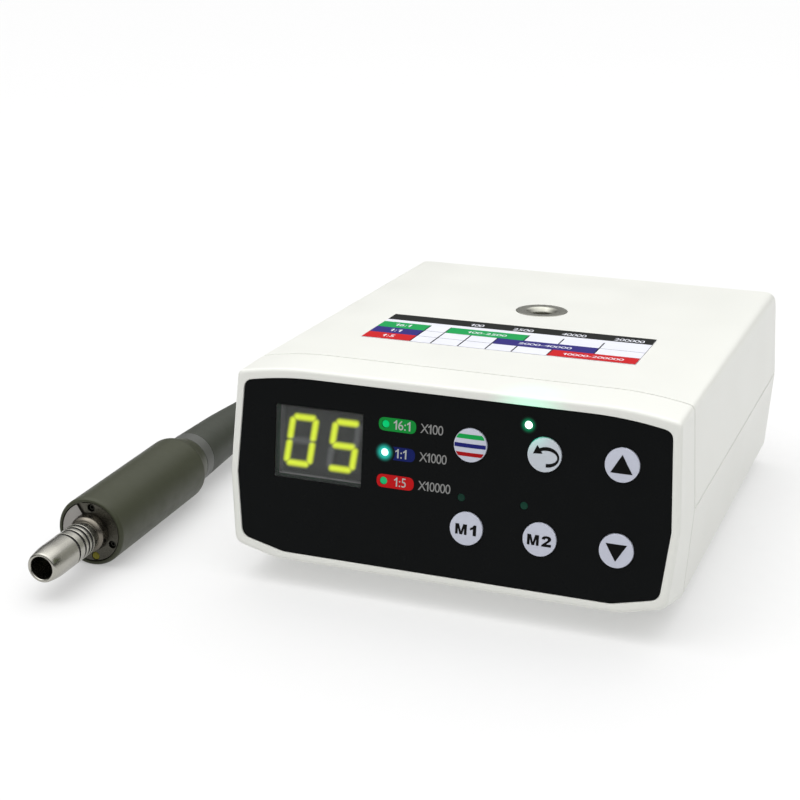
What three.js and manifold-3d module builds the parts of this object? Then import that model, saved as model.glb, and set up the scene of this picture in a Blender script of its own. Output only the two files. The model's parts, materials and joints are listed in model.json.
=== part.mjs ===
// A dental electric micromotor set: a table-top control unit with a front key panel, and its
// motor handpiece, which lies beside it on the hose that joins the two.
//
// Millimetres, +Z up. The front of the control unit faces -Y. Everything is first placed from the
// control unit: X = 0 is its plane of symmetry, Y = 0 the seam behind its front bezel, Z = 0 the
// table. The last lines move the whole set so that the origin is under the middle of its footprint.

import * as THREE from 'three';
import * as BufferGeometryUtils from 'three/addons/utils/BufferGeometryUtils.js';
import Module from 'manifold-3d';

const wasm = await Module();
wasm.setup();

// ---------------------------------------------------------------- driving sizes

const GAP = 0.3; // clearance between pieces that touch
const WALL = 2.4; // thickness of the moulded covers
const CASE_DEPTH = 143.4; // seam to rear edge
const SPLIT_Z = 35; // the crease where the upper and lower covers meet
const TOP_Z = 69.2; // flat middle of the top, at the seam behind the bezel
const REAR_TOP_Z = 65.2; // the top at the rear, where its shoulders have died out
const BASE_Z = 2.5; // flat middle of the underside

// Corners of the case section, right half: half width, height and fillet.
const SECTION = [
  { x: 54.7, y: BASE_Z, fillet: 1 },
  { x: 68.7, y: 5.8, fillet: 2.2 },
  { x: 70.8, y: SPLIT_Z, fillet: 0 },
  { x: 69.1, y: 66.6, fillet: 1.8 },
  { x: 56, y: TOP_Z, fillet: 10.8 },
];

// The same corners at the rear end of the covers.
const REAR_SECTION = [
  ...SECTION.slice(0, 3),
  { x: 69.1, y: REAR_TOP_Z, fillet: 4 },
  { x: 56, y: REAR_TOP_Z, fillet: 8 },
];

// The same corners for the black panel, before its inset.
const PANEL_SECTION = [
  ...SECTION.slice(0, 3),
  { x: 69.1, y: 66.3, fillet: 2.4 },
  { x: 56, y: 68.8, fillet: 10.8 },
];

const LEAN = Math.atan(0.114); // the front face leans back
const FRONT_Y = -24.34; // where the front plane meets the table
const UNDERSIDE_LIFT = 6.2; // how much the bezel's underside rises towards the front
const BEZEL_WALL = 3.2;
const RIM = 2.6; // width of the white rim round the black panel

const PANEL_THICK = 1.0;
const PANEL_SINK = 0.4; // the panel lies this far behind the rim
const PANEL_BACK = PANEL_SINK + PANEL_THICK;

const WINDOW = { x: -41.5, y: 46.55, width: 29.0, height: 23.1 };

const BUTTON_RADIUS = 5.07;
const BUTTON_COLUMNS = [7.3, 29.9, 52.85];
const BUTTON_ROWS = [52.9, 27.45];
const BUTTON_NAMES = [
  ['ratio_button', 'reverse_button', 'up_button'],
  ['memory_1_button', 'memory_2_button', 'down_button'],
];

const LED_RADIUS = 1.15;
const LEDS = [
  { name: 'led_ratio_16_1', x: -19.7, y: 56.0 },
  { name: 'led_ratio_1_1', x: -19.7, y: 47.3 },
  { name: 'led_ratio_1_5', x: -19.7, y: 38.5 },
  { name: 'led_reverse', x: 24.5, y: 61.05 },
  { name: 'led_memory_1', x: 5.1, y: 36.6 },
  { name: 'led_memory_2', x: 24.5, y: 36.8 },
];

// On the sloping roof, Y down its slope from the seam. The label's place is turned a little.
const LABEL = {
  x: -0.45,
  y: 41.8,
  width: 90.1,
  depth: 32,
  turn: THREE.MathUtils.degToRad(1),
  recess: 0.4,
  thick: 0.25,
};
const SOCKET = { x: -1.4, y: 82, flange: 8.75, barrel: 6.5, bore: 4.17, depth: 16 };

const FOOT = { x: 52, front: 14, back: 128, radius: 6, height: 2.2 };
const SCREW = { x: 61, front: 20, back: 120 };

const REAR_PANEL = { front: 138.6, thick: 2.4 };
const REAR_Z = 20; // height of the row of connectors
const HOSE_PORT_X = 11.5;
const AIR_PORT_X = 42;
const POWER_PORT_X = -35;

// The motor lies on the table beside the unit. Stations along its axis are measured from Y = 0.
const MOTOR = {
  x: -116.8,
  turn: THREE.MathUtils.degToRad(1.9),
  radius: 11.5,
  tip: -61.8,
  face: -31.5,
  bodyEnd: 28.5,
  taperEnd: 36,
  collarEnd: 41.5,
  sleeveEnd: 95,
  collarRadius: 9,
  sleeveRadius: 6.4,
  noseRadius: 5.5,
  noseBore: 3.65,
};
const O_RING_STATIONS = [-47.45, -43.95, -41.65, -39.55];
const FACE_SCREW_ANGLES = [85, -24];
const FACE_SCREW_CIRCLE = 8.3;

// The hose: its radius, and the coil that its spare length is wound into, behind the unit. The
// coil has two layers; inner and outer are the radii of its hose's middle line.
const HOSE_RADIUS = 4.5;
const COIL = { x: -50, y: 218, inner: 41.25, outer: 61.5, low: 4.6, high: 13.7 };

// ---------------------------------------------------------------- solids

/** Merges shared points, drops empty triangles and turns the faces outwards. */
function tidied(geometry) {
  const bare = geometry.index ? geometry.clone() : BufferGeometryUtils.mergeVertices(geometry);
  bare.deleteAttribute('normal');
  bare.deleteAttribute('uv');
  const merged = BufferGeometryUtils.mergeVertices(bare, 1e-4);
  const points = merged.attributes.position;
  const corner = [0, 1, 2].map(() => new THREE.Vector3());
  const kept = [];
  let volume = 0;
  for (let i = 0; i < merged.index.count; i += 3) {
    const ids = [0, 1, 2].map((k) => merged.index.getX(i + k));
    if (new Set(ids).size < 3) continue;
    ids.forEach((id, k) => corner[k].fromBufferAttribute(points, id));
    volume += corner[0].dot(corner[1].clone().cross(corner[2]));
    kept.push(ids);
  }
  merged.setIndex(kept.flatMap(([a, b, c]) => (volume < 0 ? [a, c, b] : [a, b, c])));
  return merged;
}

/** A solid for adding and cutting, from a geometry; a result of adding or cutting is kept as is. */
function toSolid(shape) {
  if (!shape.isBufferGeometry) return shape;
  const closed = tidied(shape);
  const vertProperties = new Float32Array(closed.attributes.position.array);
  const triVerts = new Uint32Array(closed.index.array);
  return new wasm.Manifold(new wasm.Mesh({ numProp: 3, vertProperties, triVerts }));
}

function toGeometry(shape) {
  if (shape.isBufferGeometry) return tidied(shape);
  const mesh = shape.getMesh();
  const geometry = new THREE.BufferGeometry();
  geometry.setAttribute('position', new THREE.BufferAttribute(mesh.vertProperties, 3));
  geometry.setIndex(new THREE.BufferAttribute(mesh.triVerts, 1));
  return geometry;
}

/** The first shape with the others joined on. */
function joined(first, ...others) {
  return others.reduce((solid, other) => solid.add(toSolid(other)), toSolid(first));
}

/** The first shape with the others cut away. */
function cut(first, ...others) {
  return others.reduce((solid, other) => solid.subtract(toSolid(other)), toSolid(first));
}

function common(first, second) {
  return toSolid(first).intersect(toSolid(second));
}

function block([x0, x1], [y0, y1], [z0, z1]) {
  const box = new THREE.BoxGeometry(x1 - x0, y1 - y0, z1 - z0);
  return box.translate((x0 + x1) / 2, (y0 + y1) / 2, (z0 + z1) / 2);
}

/** A body of revolution about Y. The profile is a closed loop of [radius, station] pairs. */
function turned(profile, segments = 32) {
  const loop = profile.map(([radius, station]) => new THREE.Vector2(radius, station));
  if (!profile.some(([radius]) => radius === 0)) loop.push(loop[0].clone());
  return new THREE.LatheGeometry(loop, segments);
}

/** A turned body stood up, so that its stations are heights, at x, y. */
function upright(profile, x, y, segments) {
  return turned(profile, segments).rotateX(Math.PI / 2).translate(x, y, 0);
}

/** A turned body at x, z whose stations run along Y. */
function levelled(profile, x, z, segments) {
  return turned(profile, segments).translate(x, 0, z);
}

function disc(radius, low, high) {
  return [[0, low], [radius, low], [radius, high], [0, high]];
}

function ring(inner, outer, low, high) {
  return [[inner, low], [outer, low], [outer, high], [inner, high]];
}

// ---------------------------------------------------------------- outlines

/** A closed outline through corners, each rounded by its fillet. */
function filleted(corners) {
  const shape = new THREE.Shape();
  corners.forEach((corner, i) => {
    const at = new THREE.Vector2(corner.x, corner.y);
    const before = corners[(i + corners.length - 1) % corners.length];
    const after = corners[(i + 1) % corners.length];
    const [start, end] = [before, after].map((other) => {
      const way = new THREE.Vector2(other.x, other.y).sub(at).normalize();
      return at.clone().addScaledVector(way, corner.fillet);
    });
    if (i === 0) shape.moveTo(start.x, start.y);
    else shape.lineTo(start.x, start.y);
    if (corner.fillet > 0) shape.quadraticCurveTo(at.x, at.y, end.x, end.y);
  });
  shape.closePath();
  return shape;
}

/** Both halves of a symmetrical outline, from the corners of its right half. */
function mirrored(right) {
  const left = right.map((corner) => ({ ...corner, x: -corner.x })).reverse();
  return [...right, ...left];
}

/** The case section, shrunk by an inset all round. */
function caseOutline(inset, section = SECTION) {
  const right = section.map((corner) => ({
    x: corner.x - inset,
    y: corner.y + inset * Math.sign(Math.round((SPLIT_Z - corner.y) / 10)),
    fillet: corner.fillet,
  }));
  return filleted(mirrored(right));
}

/** How much the bezel's underside is lifted at its front, for a height in the case section. */
function lift(z) {
  const share = (SPLIT_Z - z) / (SPLIT_Z - SECTION[1].y);
  return UNDERSIDE_LIFT * THREE.MathUtils.clamp(share, 0, 1);
}

/** The front outline on the leaning face, Y up the slope, for the black panel. */
function panelOutline(inset) {
  const right = PANEL_SECTION.map((corner) => ({
    x: corner.x - inset,
    y: (corner.y + lift(corner.y)) / Math.cos(LEAN)
      + inset * Math.sign(Math.round((SPLIT_Z - corner.y) / 10)),
    fillet: corner.fillet === 2.2 ? 2.6 : corner.fillet,
  }));
  return filleted(mirrored(right));
}

function extruded(shape, low, high, curveSegments = 4) {
  const options = { depth: high - low, bevelEnabled: false, curveSegments };
  return new THREE.ExtrudeGeometry(shape, options).translate(0, 0, low);
}

/** A section drawn in X and Z, extruded from y0 to y1. */
function alongY(shape, y0, y1) {
  return extruded(shape, 0, y1 - y0).rotateX(Math.PI / 2).translate(0, y1, 0);
}

/** The case section drawn out from the seam to the rear, where the top lies lower and flat. */
function drawnOut(inset, y0, y1) {
  const [front, rear] = [SECTION, REAR_SECTION].map((section) => (
    caseOutline(inset, section).getPoints(4)
  ));
  const geometry = alongY(caseOutline(inset), y0, y1);
  const points = geometry.attributes.position;
  for (let i = 0; i < points.count; i += 1) {
    if (points.getY(i) < (y0 + y1) / 2) continue;
    const at = new THREE.Vector2(points.getX(i), points.getZ(i));
    const k = front.findIndex((point) => point.distanceTo(at) < 1e-3);
    points.setX(i, rear[k].x);
    points.setZ(i, rear[k].y);
  }
  return geometry;
}

// ---------------------------------------------------------------- scene

const unit = new THREE.Group();
const front = new THREE.Group();
front.position.y = FRONT_Y;
front.rotation.x = Math.PI / 2 - LEAN;
front.updateMatrix();
unit.add(front);

// The roof's own frame: origin at the seam, Y down its slope, Z out of it.
const roof = new THREE.Group();
roof.position.set(0, GAP, TOP_Z);
roof.rotation.x = -Math.atan((TOP_Z - REAR_TOP_Z) / (CASE_DEPTH - GAP));
roof.updateMatrix();
unit.add(roof);

const motor = new THREE.Group();
motor.position.set(MOTOR.x, 0, MOTOR.radius);
motor.rotation.z = MOTOR.turn;

const hose = new THREE.Group();

function piece(group, name, shape, [color, roughness, metalness]) {
  const material = new THREE.MeshStandardMaterial({ color, roughness, metalness });
  const mesh = new THREE.Mesh(toGeometry(shape), material);
  mesh.name = name;
  group.add(mesh);
}

const WHITE_ABS = [0xf2f2ea, 0.35, 0];
const BLACK_GLOSS = [0x101112, 0.15, 0];
const SMOKED = [0x35383a, 0.1, 0];
const KEY_WHITE = [0xdcdde6, 0.4, 0];
const BOARD_GREEN = [0x1f5a36, 0.5, 0];
const LENS_GREEN = [0x35c26a, 0.3, 0];
const RUBBER = [0x1c1c1c, 0.8, 0];
const STEEL = [0xb8b7ac, 0.25, 1];
const DARK_STEEL = [0x77766f, 0.35, 1];
const OLIVE = [0x4a4b3d, 0.4, 0.5];
const GREY_RING = [0x6b6b66, 0.45, 0.5];
const COPPER = [0xb06a3a, 0.4, 0.9];
const MAGNET = [0x55565a, 0.4, 0.9];
const PHOSPHOR = [0x8d8a1f, 0.4, 0];
const BRASS = [0xb79a52, 0.35, 1];
const HOSE_GREY = [0x3d3e3a, 0.6, 0];
const PAPER = [0xeeeef4, 0.5, 0];
const PLASTIC_BLACK = [0x202122, 0.5, 0];

// ---------------------------------------------------------------- front bezel and panel

/** Moves the front end of a section extruded along Y on to the leaning front plane. */
function leaned(geometry, behind) {
  const points = geometry.attributes.position;
  for (let i = 0; i < points.count; i += 1) {
    if (points.getY(i) > -1) continue;
    const z = points.getZ(i) + lift(points.getZ(i));
    points.setZ(i, z);
    points.setY(i, FRONT_Y + behind + z * Math.tan(LEAN));
  }
  return geometry;
}

/** A cutter drawn on the leaning face, in the control unit's own frame. */
function onFace(geometry) {
  return geometry.applyMatrix4(front.matrix);
}

function windowOutline(grow) {
  const x = WINDOW.width / 2 + grow;
  const y = WINDOW.height / 2 + grow;
  return block([WINDOW.x - x, WINDOW.x + x], [WINDOW.y - y, WINDOW.y + y], [-12, 2]);
}

function panelHoles() {
  const holes = [windowOutline(0)];
  for (const y of BUTTON_ROWS) {
    for (const x of BUTTON_COLUMNS) {
      holes.push(upright(disc(BUTTON_RADIUS + GAP, -8, 2), x, y, 18));
    }
  }
  for (const { x, y } of LEDS) holes.push(upright(disc(LED_RADIUS + GAP, -8, 2), x, y, 8));
  return holes;
}

function frontBezel() {
  const outer = leaned(alongY(caseOutline(0), -24, 0), 0);
  const cavity = leaned(alongY(caseOutline(WALL), -24, 8), BEZEL_WALL);
  const tongue = alongY(caseOutline(WALL + 1.5 * GAP), -2, 6);
  const hollow = alongY(caseOutline(WALL + GAP + 1.4), -3, 8);
  const seat = onFace(extruded(panelOutline(RIM - GAP), -PANEL_BACK - GAP, 3));
  const holes = panelHoles().map(onFace);
  return cut(joined(cut(outer, cavity), cut(tongue, hollow)), seat, ...holes);
}

function addFront() {
  piece(unit, 'front_bezel', frontBezel(), WHITE_ABS);
  const sheet = extruded(panelOutline(RIM), -PANEL_BACK, -PANEL_SINK);
  piece(front, 'front_overlay', cut(sheet, ...panelHoles()), BLACK_GLOSS);
  const lens = common(windowOutline(-GAP), block([-80, 80], [0, 80], [-2.4, -PANEL_SINK - 0.15]));
  piece(front, 'display_window', lens, SMOKED);
  const digits = common(windowOutline(-0.8), block([-80, 80], [0, 80], [-6.7, -2.7]));
  piece(front, 'display_module', digits, PLASTIC_BLACK);
}

const KEY_BOARD = { back: -8.6, front: -7.0, halfWidth: 64, low: 19, high: 64 };
const SWITCH_TOP = -5.5;
const KEY_TRAVEL_CLEARANCE = 0.6;

/** A round key cap: stem, retaining flange behind the bezel, and a slightly domed face. */
function keyCap() {
  const stem = SWITCH_TOP + KEY_TRAVEL_CLEARANCE;
  return [
    [0, stem],
    [1.8, stem],
    [1.8, -4.6],
    [BUTTON_RADIUS + 1, -4.6],
    [BUTTON_RADIUS + 1, -3.7],
    [BUTTON_RADIUS, -3.7],
    [BUTTON_RADIUS, -0.1],
    [BUTTON_RADIUS - 0.6, 0.35],
    [0, 0.55],
  ];
}

function addKeys() {
  BUTTON_NAMES.forEach((row, r) => {
    row.forEach((name, c) => {
      const cap = upright(keyCap(), BUTTON_COLUMNS[c], BUTTON_ROWS[r], 18);
      piece(front, name, cap, KEY_WHITE);
    });
  });
}

function keyBoard() {
  const { back, front: face, halfWidth, low, high } = KEY_BOARD;
  const board = block([-halfWidth, halfWidth], [low, high], [back, face]);
  const switches = [];
  for (const y of BUTTON_ROWS) {
    for (const x of BUTTON_COLUMNS) {
      switches.push(block([x - 3, x + 3], [y - 3, y + 3], [face - 0.2, face + 0.9]));
      switches.push(upright(disc(1.6, face + 0.5, SWITCH_TOP), x, y, 12));
    }
  }
  return joined(board, ...switches);
}

/** A light pipe from the key board to the face of the panel. */
function lightPipe() {
  const foot = KEY_BOARD.front + GAP;
  return [
    [0, foot],
    [LED_RADIUS + 0.5, foot],
    [LED_RADIUS + 0.5, -4.2],
    [LED_RADIUS, -4.2],
    [LED_RADIUS, -PANEL_SINK],
    [0, -PANEL_SINK + 0.05],
  ];
}

function addKeyBoard() {
  piece(front, 'key_board', keyBoard(), BOARD_GREEN);
  for (const { name, x, y } of LEDS) {
    piece(front, name, upright(lightPipe(), x, y, 8), LENS_GREEN);
  }
}

// ---------------------------------------------------------------- covers

const POST_RADIUS = 3.6;

function shell(low, high) {
  const tube = cut(drawnOut(0, GAP, CASE_DEPTH), drawnOut(WALL, GAP - 0.5, CASE_DEPTH + 0.5));
  return common(tube, block([-90, 90], [-10, 160], [low, high]));
}

/** A cutter drawn in the roof's frame, in the control unit's own frame. */
function onRoof(geometry) {
  return geometry.applyMatrix4(roof.matrix);
}

/** The label's outline on the roof, grown by a clearance, between two heights. */
function labelBlock(grow, low, high) {
  const { x, y, width, depth, turn } = LABEL;
  const [w, d] = [width / 2 + grow, depth / 2 + grow];
  return block([-w, w], [-d, d], [low, high]).rotateZ(turn).translate(x, y, 0);
}

function screwPlaces() {
  return [-SCREW.x, SCREW.x].flatMap((x) => [SCREW.front, SCREW.back].map((y) => [x, y]));
}

function footPlaces() {
  return [-FOOT.x, FOOT.x].flatMap((x) => [FOOT.front, FOOT.back].map((y) => [x, y]));
}

function upperCover() {
  const posts = screwPlaces().map(([x, y]) => {
    const top = y === SCREW.front ? 66.5 : 64.3;
    return upright(disc(POST_RADIUS, SPLIT_Z + GAP, top), x, y, 10);
  });
  const pilots = screwPlaces().map(([x, y]) => upright(disc(1.9, SPLIT_Z - 1, 44), x, y, 8));
  const label = labelBlock(GAP, -LABEL.recess, 2);
  const seat = upright(disc(SOCKET.flange + GAP, -1.2, 2), SOCKET.x, SOCKET.y, 28);
  const barrel = upright(disc(SOCKET.barrel + GAP, -9, -1), SOCKET.x, SOCKET.y, 24);
  const cover = joined(shell(SPLIT_Z + GAP / 2, 80), ...posts);
  return cut(cover, ...pilots, onRoof(label), onRoof(seat), onRoof(barrel));
}

function lowerCover() {
  const post = disc(POST_RADIUS + 0.6, 4.6, SPLIT_Z - 0.5);
  const posts = screwPlaces().map(([x, y]) => upright(post, x, y, 10));
  const pads = boardPlaces().map(([x, y]) => upright(disc(3, 4, 12), x, y, 8));
  const shanks = screwPlaces().map(([x, y]) => upright(disc(1.9, 0, SPLIT_Z), x, y, 8));
  const heads = screwPlaces().map(([x, y]) => upright(disc(3.1, 0, 8), x, y, 12));
  const stems = footPlaces().map(([x, y]) => upright(disc(2.4, 0, 6), x, y, 8));
  const cover = joined(shell(0, SPLIT_Z - GAP / 2), ...posts, ...pads);
  return cut(cover, ...shanks, ...heads, ...stems);
}

function addCovers() {
  piece(unit, 'upper_cover', upperCover(), WHITE_ABS);
  piece(unit, 'lower_cover', lowerCover(), WHITE_ABS);
  screwPlaces().forEach(([x, y], i) => {
    const profile = [[0, 5.6], [2.7, 5.6], [2.7, 7.6], [1.5, 7.6], [1.5, 42], [0, 42.5]];
    piece(unit, `case_screw_${i + 1}`, upright(profile, x, y, 10), STEEL);
  });
  footPlaces().forEach(([x, y], i) => {
    const profile = [
      [0, 0],
      [FOOT.radius - 0.6, 0],
      [FOOT.radius, 0.6],
      [FOOT.radius, FOOT.height],
      [2, FOOT.height],
      [2, 5],
      [0, 5],
    ];
    piece(unit, `foot_${i + 1}`, upright(profile, x, y, 16), RUBBER);
  });
}

function addTop() {
  const under = GAP - LABEL.recess;
  piece(roof, 'speed_chart_label', labelBlock(0, under, under + LABEL.thick), PAPER);
  const top = 0.1;
  const floor = top - SOCKET.depth + 2;
  const profile = [
    [0, floor],
    [3.2, floor + 1],
    [SOCKET.bore, floor + 2],
    [SOCKET.bore, top - 0.5],
    [SOCKET.bore + 0.4, top],
    [SOCKET.flange - 0.2, top],
    [SOCKET.flange, top - 0.2],
    [SOCKET.flange, -0.9],
    [SOCKET.barrel, -0.9],
    [SOCKET.barrel, top - SOCKET.depth],
    [0, top - SOCKET.depth],
  ];
  piece(roof, 'top_socket', upright(profile, SOCKET.x, SOCKET.y, 28), STEEL);
  const inside = -WALL - GAP;
  const hexagon = upright(disc(9.6, inside - 3, inside), SOCKET.x, SOCKET.y, 6);
  const bore = upright(disc(SOCKET.barrel + GAP, inside - 4, inside + 1), SOCKET.x, SOCKET.y, 24);
  piece(roof, 'socket_nut', cut(hexagon, bore), DARK_STEEL);
}

// ---------------------------------------------------------------- rear panel and insides

// Each connector's flange passes through the panel, and a wider one holds it from behind.
const FLANGE = { hose: 10, air: 8, power: 6.5 };
const LEDGE = { front: 134.5, back: REAR_PANEL.front - GAP, wider: 1.5 };
const NUT = { front: 144.5, back: 156, radius: 9.4 };
const BOOT = { front: 156.3, back: 178, radius: 7.6, tip: 5.6 };

function rearPanel() {
  const { front: y0, thick } = REAR_PANEL;
  const y1 = y0 + thick;
  const plate = alongY(caseOutline(WALL + GAP, REAR_SECTION), y0, y1);
  const hole = (x, radius) => levelled(disc(radius, y0 - 2, y1 + 2), x, REAR_Z, 24);
  const vents = [];
  for (let i = 0; i < 9; i += 1) {
    const x = -24 + 6 * i;
    vents.push(block([x - 1.1, x + 1.1], [y0 - 2, y1 + 2], [42, 58]));
  }
  const ports = [
    hole(HOSE_PORT_X, FLANGE.hose + GAP),
    hole(AIR_PORT_X, FLANGE.air + GAP),
    hole(POWER_PORT_X, FLANGE.power + GAP),
  ];
  return cut(plate, ...ports, ...vents);
}

/** The profile of a connector's body where it passes through the rear panel. */
function throughPanel(neck, flange) {
  return [
    [neck, LEDGE.front],
    [flange + LEDGE.wider, LEDGE.front],
    [flange + LEDGE.wider, LEDGE.back],
    [flange, LEDGE.back],
  ];
}

function addRear() {
  piece(unit, 'rear_panel', rearPanel(), WHITE_ABS);
  const port = [
    [0, 126],
    [7, 126],
    ...throughPanel(7, FLANGE.hose),
    [FLANGE.hose, 143.6],
    [0, 143.6],
  ];
  piece(unit, 'hose_port', levelled(port, HOSE_PORT_X, REAR_Z, 24), STEEL);
  const air = [
    [1.6, 128],
    [5, 128],
    ...throughPanel(5, FLANGE.air),
    [FLANGE.air, 144],
    [4, 144],
    [4, 151],
    [4.6, 152],
    [3, 157],
    [1.6, 157],
  ];
  piece(unit, 'air_inlet', levelled(air, AIR_PORT_X, REAR_Z, 16), BRASS);
  const power = [
    [0, 128],
    [4.5, 128],
    ...throughPanel(4.5, FLANGE.power),
    [FLANGE.power, 143],
    [3.2, 143],
    [3.2, 133],
    [1, 133],
    [1, 142],
    [0, 142.4],
  ];
  piece(unit, 'power_inlet', levelled(power, POWER_PORT_X, REAR_Z, 16), PLASTIC_BLACK);
  const nut = [
    [0, NUT.front],
    [NUT.radius - 0.6, NUT.front],
    [NUT.radius, NUT.front + 0.8],
    [NUT.radius, NUT.back - 1.5],
    [NUT.radius - 1.2, NUT.back],
    [0, NUT.back],
  ];
  piece(unit, 'hose_nut', levelled(nut, HOSE_PORT_X, REAR_Z, 24), STEEL);
  const boot = [[0, BOOT.front], [BOOT.radius, BOOT.front], [BOOT.tip, BOOT.back], [0, BOOT.back]];
  piece(unit, 'hose_boot', levelled(boot, HOSE_PORT_X, REAR_Z, 20), HOSE_GREY);
}

function boardPlaces() {
  return [-45, 45].flatMap((x) => [28, 112].map((y) => [x, y]));
}

function mainBoard() {
  const board = block([-50, 50], [22, 118], [12 + GAP, 13.9]);
  const chip = block([-28, -12], [60, 76], [13.5, 16.5]);
  const driver = block([5, 35], [40, 64], [13.5, 24]);
  const choke = upright(disc(7, 13.5, 23), -34, 38, 20);
  const reservoir = upright(disc(6, 13.5, 34), -36, 96, 20);
  const header = block([-18, 18], [24, 29], [13.5, 21]);
  return joined(board, chip, driver, choke, reservoir, header);
}

function addInsides() {
  piece(unit, 'main_board', mainBoard(), BOARD_GREEN);
  const body = block([24, 50], [70, 92], [14.2, 34]);
  const coil = block([28, 46], [91, 110], [16, 32]);
  const stub = levelled(disc(3, 109, 117), 37, 24, 12);
  piece(unit, 'air_valve', joined(body, coil, stub), BRASS);
  const sensor = block([-12, 8], [84, 104], [14.2, 24]);
  const nipple = levelled(disc(2.4, 103, 112), -2, 19, 12);
  piece(unit, 'pressure_sensor', joined(sensor, nipple), PLASTIC_BLACK);
}

// ---------------------------------------------------------------- motor handpiece

/** The grooved coupling nose, which a handpiece pushes on to. */
function motorNose() {
  const { tip, face, noseRadius: r, noseBore: bore } = MOTOR;
  const profile = [
    [bore, tip],
    [bore + 0.4, tip - 0.05],
    [r - 0.9, tip + 0.6],
    [r - 0.25, tip + 1.8],
    [r, tip + 3.4],
  ];
  for (const station of O_RING_STATIONS) {
    profile.push([r, station - 0.55], [r - 0.75, station - 0.55]);
    profile.push([r - 0.75, station + 0.55], [r, station + 0.55]);
  }
  profile.push([r, -38.4], [r - 0.5, -38], [r - 0.5, -35], [r + 0.7, -34.6]);
  profile.push([r + 0.7, face - GAP], [r - 0.3, face - GAP], [r - 0.3, -28.4]);
  profile.push([8.6, -28.4], [8.6, -25.6], [4.3, -25.6], [4.3, -29.8]);
  profile.push([2.2, -29.8], [2.2, -36], [bore, -36]);
  return turned(profile, 24);
}

function facePlate() {
  const { face, noseRadius } = MOTOR;
  const plate = turned(ring(noseRadius, 9.9, face, face + 2.6), 28);
  const hole = disc(1.3, face - 2, face + 4);
  const cutters = FACE_SCREW_ANGLES.map((angle) => alongMotor(hole, angle));
  cutters.push(alongMotor(disc(1.6, face - 2, face + 4), -80.6));
  cutters.push(block([-4.1, -2.9], [face - 2, face + 0.7], [4.4, 12]));
  return cut(plate, ...cutters);
}

/** A turned piece parallel to the motor's axis, at an angle round its face. */
function alongMotor(profile, degrees, segments = 10) {
  const angle = THREE.MathUtils.degToRad(degrees);
  const x = FACE_SCREW_CIRCLE * Math.cos(angle);
  const z = FACE_SCREW_CIRCLE * Math.sin(angle);
  return turned(profile, segments).translate(x, 0, z);
}

function housing() {
  const { face, bodyEnd, taperEnd, radius, collarRadius } = MOTOR;
  return turned([
    [10.2, face],
    [radius - 0.5, face - 0.3],
    [radius, face + 0.3],
    [radius, bodyEnd],
    [radius - 0.3, bodyEnd + 0.6],
    [collarRadius, taperEnd],
    [5, taperEnd],
    [5, 29.5],
    [9.6, 23.5],
    [9.6, face + 6],
    [10.2, face + 5],
  ], 36);
}

function addMotorShell() {
  const { face, taperEnd, collarEnd, sleeveEnd, collarRadius, sleeveRadius } = MOTOR;
  piece(motor, 'motor_housing', housing(), OLIVE);
  piece(motor, 'coupling_nose', motorNose(), STEEL);
  piece(motor, 'face_plate', facePlate(), DARK_STEEL);
  O_RING_STATIONS.forEach((station, i) => {
    const r = MOTOR.noseRadius;
    const band = ring(r - 0.45, r - 0.1, station - 0.25, station + 0.25);
    piece(motor, `o_ring_${i + 1}`, turned(band, 20), RUBBER);
  });
  FACE_SCREW_ANGLES.forEach((angle, i) => {
    const screw = alongMotor(disc(1.0, face + 0.5, face + 2.6), angle, 10);
    piece(motor, `face_screw_${i + 1}`, screw, DARK_STEEL);
  });
  const lamp = alongMotor(disc(1.3, face + 0.1, face + 2.7), -80.6);
  piece(motor, 'light_window', lamp, PHOSPHOR);
  const collar = [
    [0, taperEnd + GAP],
    [collarRadius, taperEnd + GAP],
    [collarRadius, collarEnd],
    [0, collarEnd],
  ];
  piece(motor, 'collar_ring', turned(collar, 28), GREY_RING);
  const sleeve = [
    [0, collarEnd + GAP],
    [collarRadius, collarEnd + GAP],
    [collarRadius - 0.85, 68],
    [sleeveRadius, sleeveEnd],
    [0, sleeveEnd],
  ];
  piece(motor, 'hose_sleeve', turned(sleeve, 28), HOSE_GREY);
}

function addMotorInsides() {
  piece(motor, 'front_bearing', turned(ring(1.9, 3.9, -29.4, -26.4), 16), STEEL);
  piece(motor, 'stator', turned(ring(5.9, 9.2, -22, 8), 20), COPPER);
  const holder = [[4.2, 12], [9.2, 12], [9.2, 19], [2.2, 19], [2.2, 16.6], [4.2, 16.6]];
  piece(motor, 'rear_bearing_holder', turned(holder, 20), DARK_STEEL);
  piece(motor, 'rear_bearing', turned(ring(1.9, 3.9, 13.2, 16.2), 16), STEEL);
  const shaft = [[0, -42], [2.5, -42], [2.5, -37], [1.6, -36.6], [1.6, 20], [0, 20]];
  piece(motor, 'rotor_shaft', turned(shaft, 16), STEEL);
  piece(motor, 'rotor_magnet', turned(ring(1.9, 5.3, -21, 7), 20), MAGNET);
}

// ---------------------------------------------------------------- hose

/** The lead from the rear boot to the coil, and the run from the coil to the motor's sleeve. */
const LEAD = [
  [HOSE_PORT_X, BOOT.back + GAP, REAR_Z],
  [HOSE_PORT_X, 180, REAR_Z - 0.05],
  [HOSE_PORT_X, 181.6, REAR_Z - 0.15],
];

const RUN = [
  [-112.3, 184, COIL.low],
  [-113.2, 176, COIL.low],
  [-114.7, 166, COIL.low],
  [-116.5, 155, COIL.low],
  [-118.4, 144, 4.9],
  [-119.8, 133, 6.1],
  [-120.6, 122, 8.2],
  [-120.5, 112, 10.2],
  [-120.2, 103, 11.3],
];

function sleeveMouth() {
  const { x, turn, radius, sleeveEnd } = MOTOR;
  const reach = sleeveEnd + GAP;
  return [x - reach * Math.sin(turn), reach * Math.cos(turn), radius];
}

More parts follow.
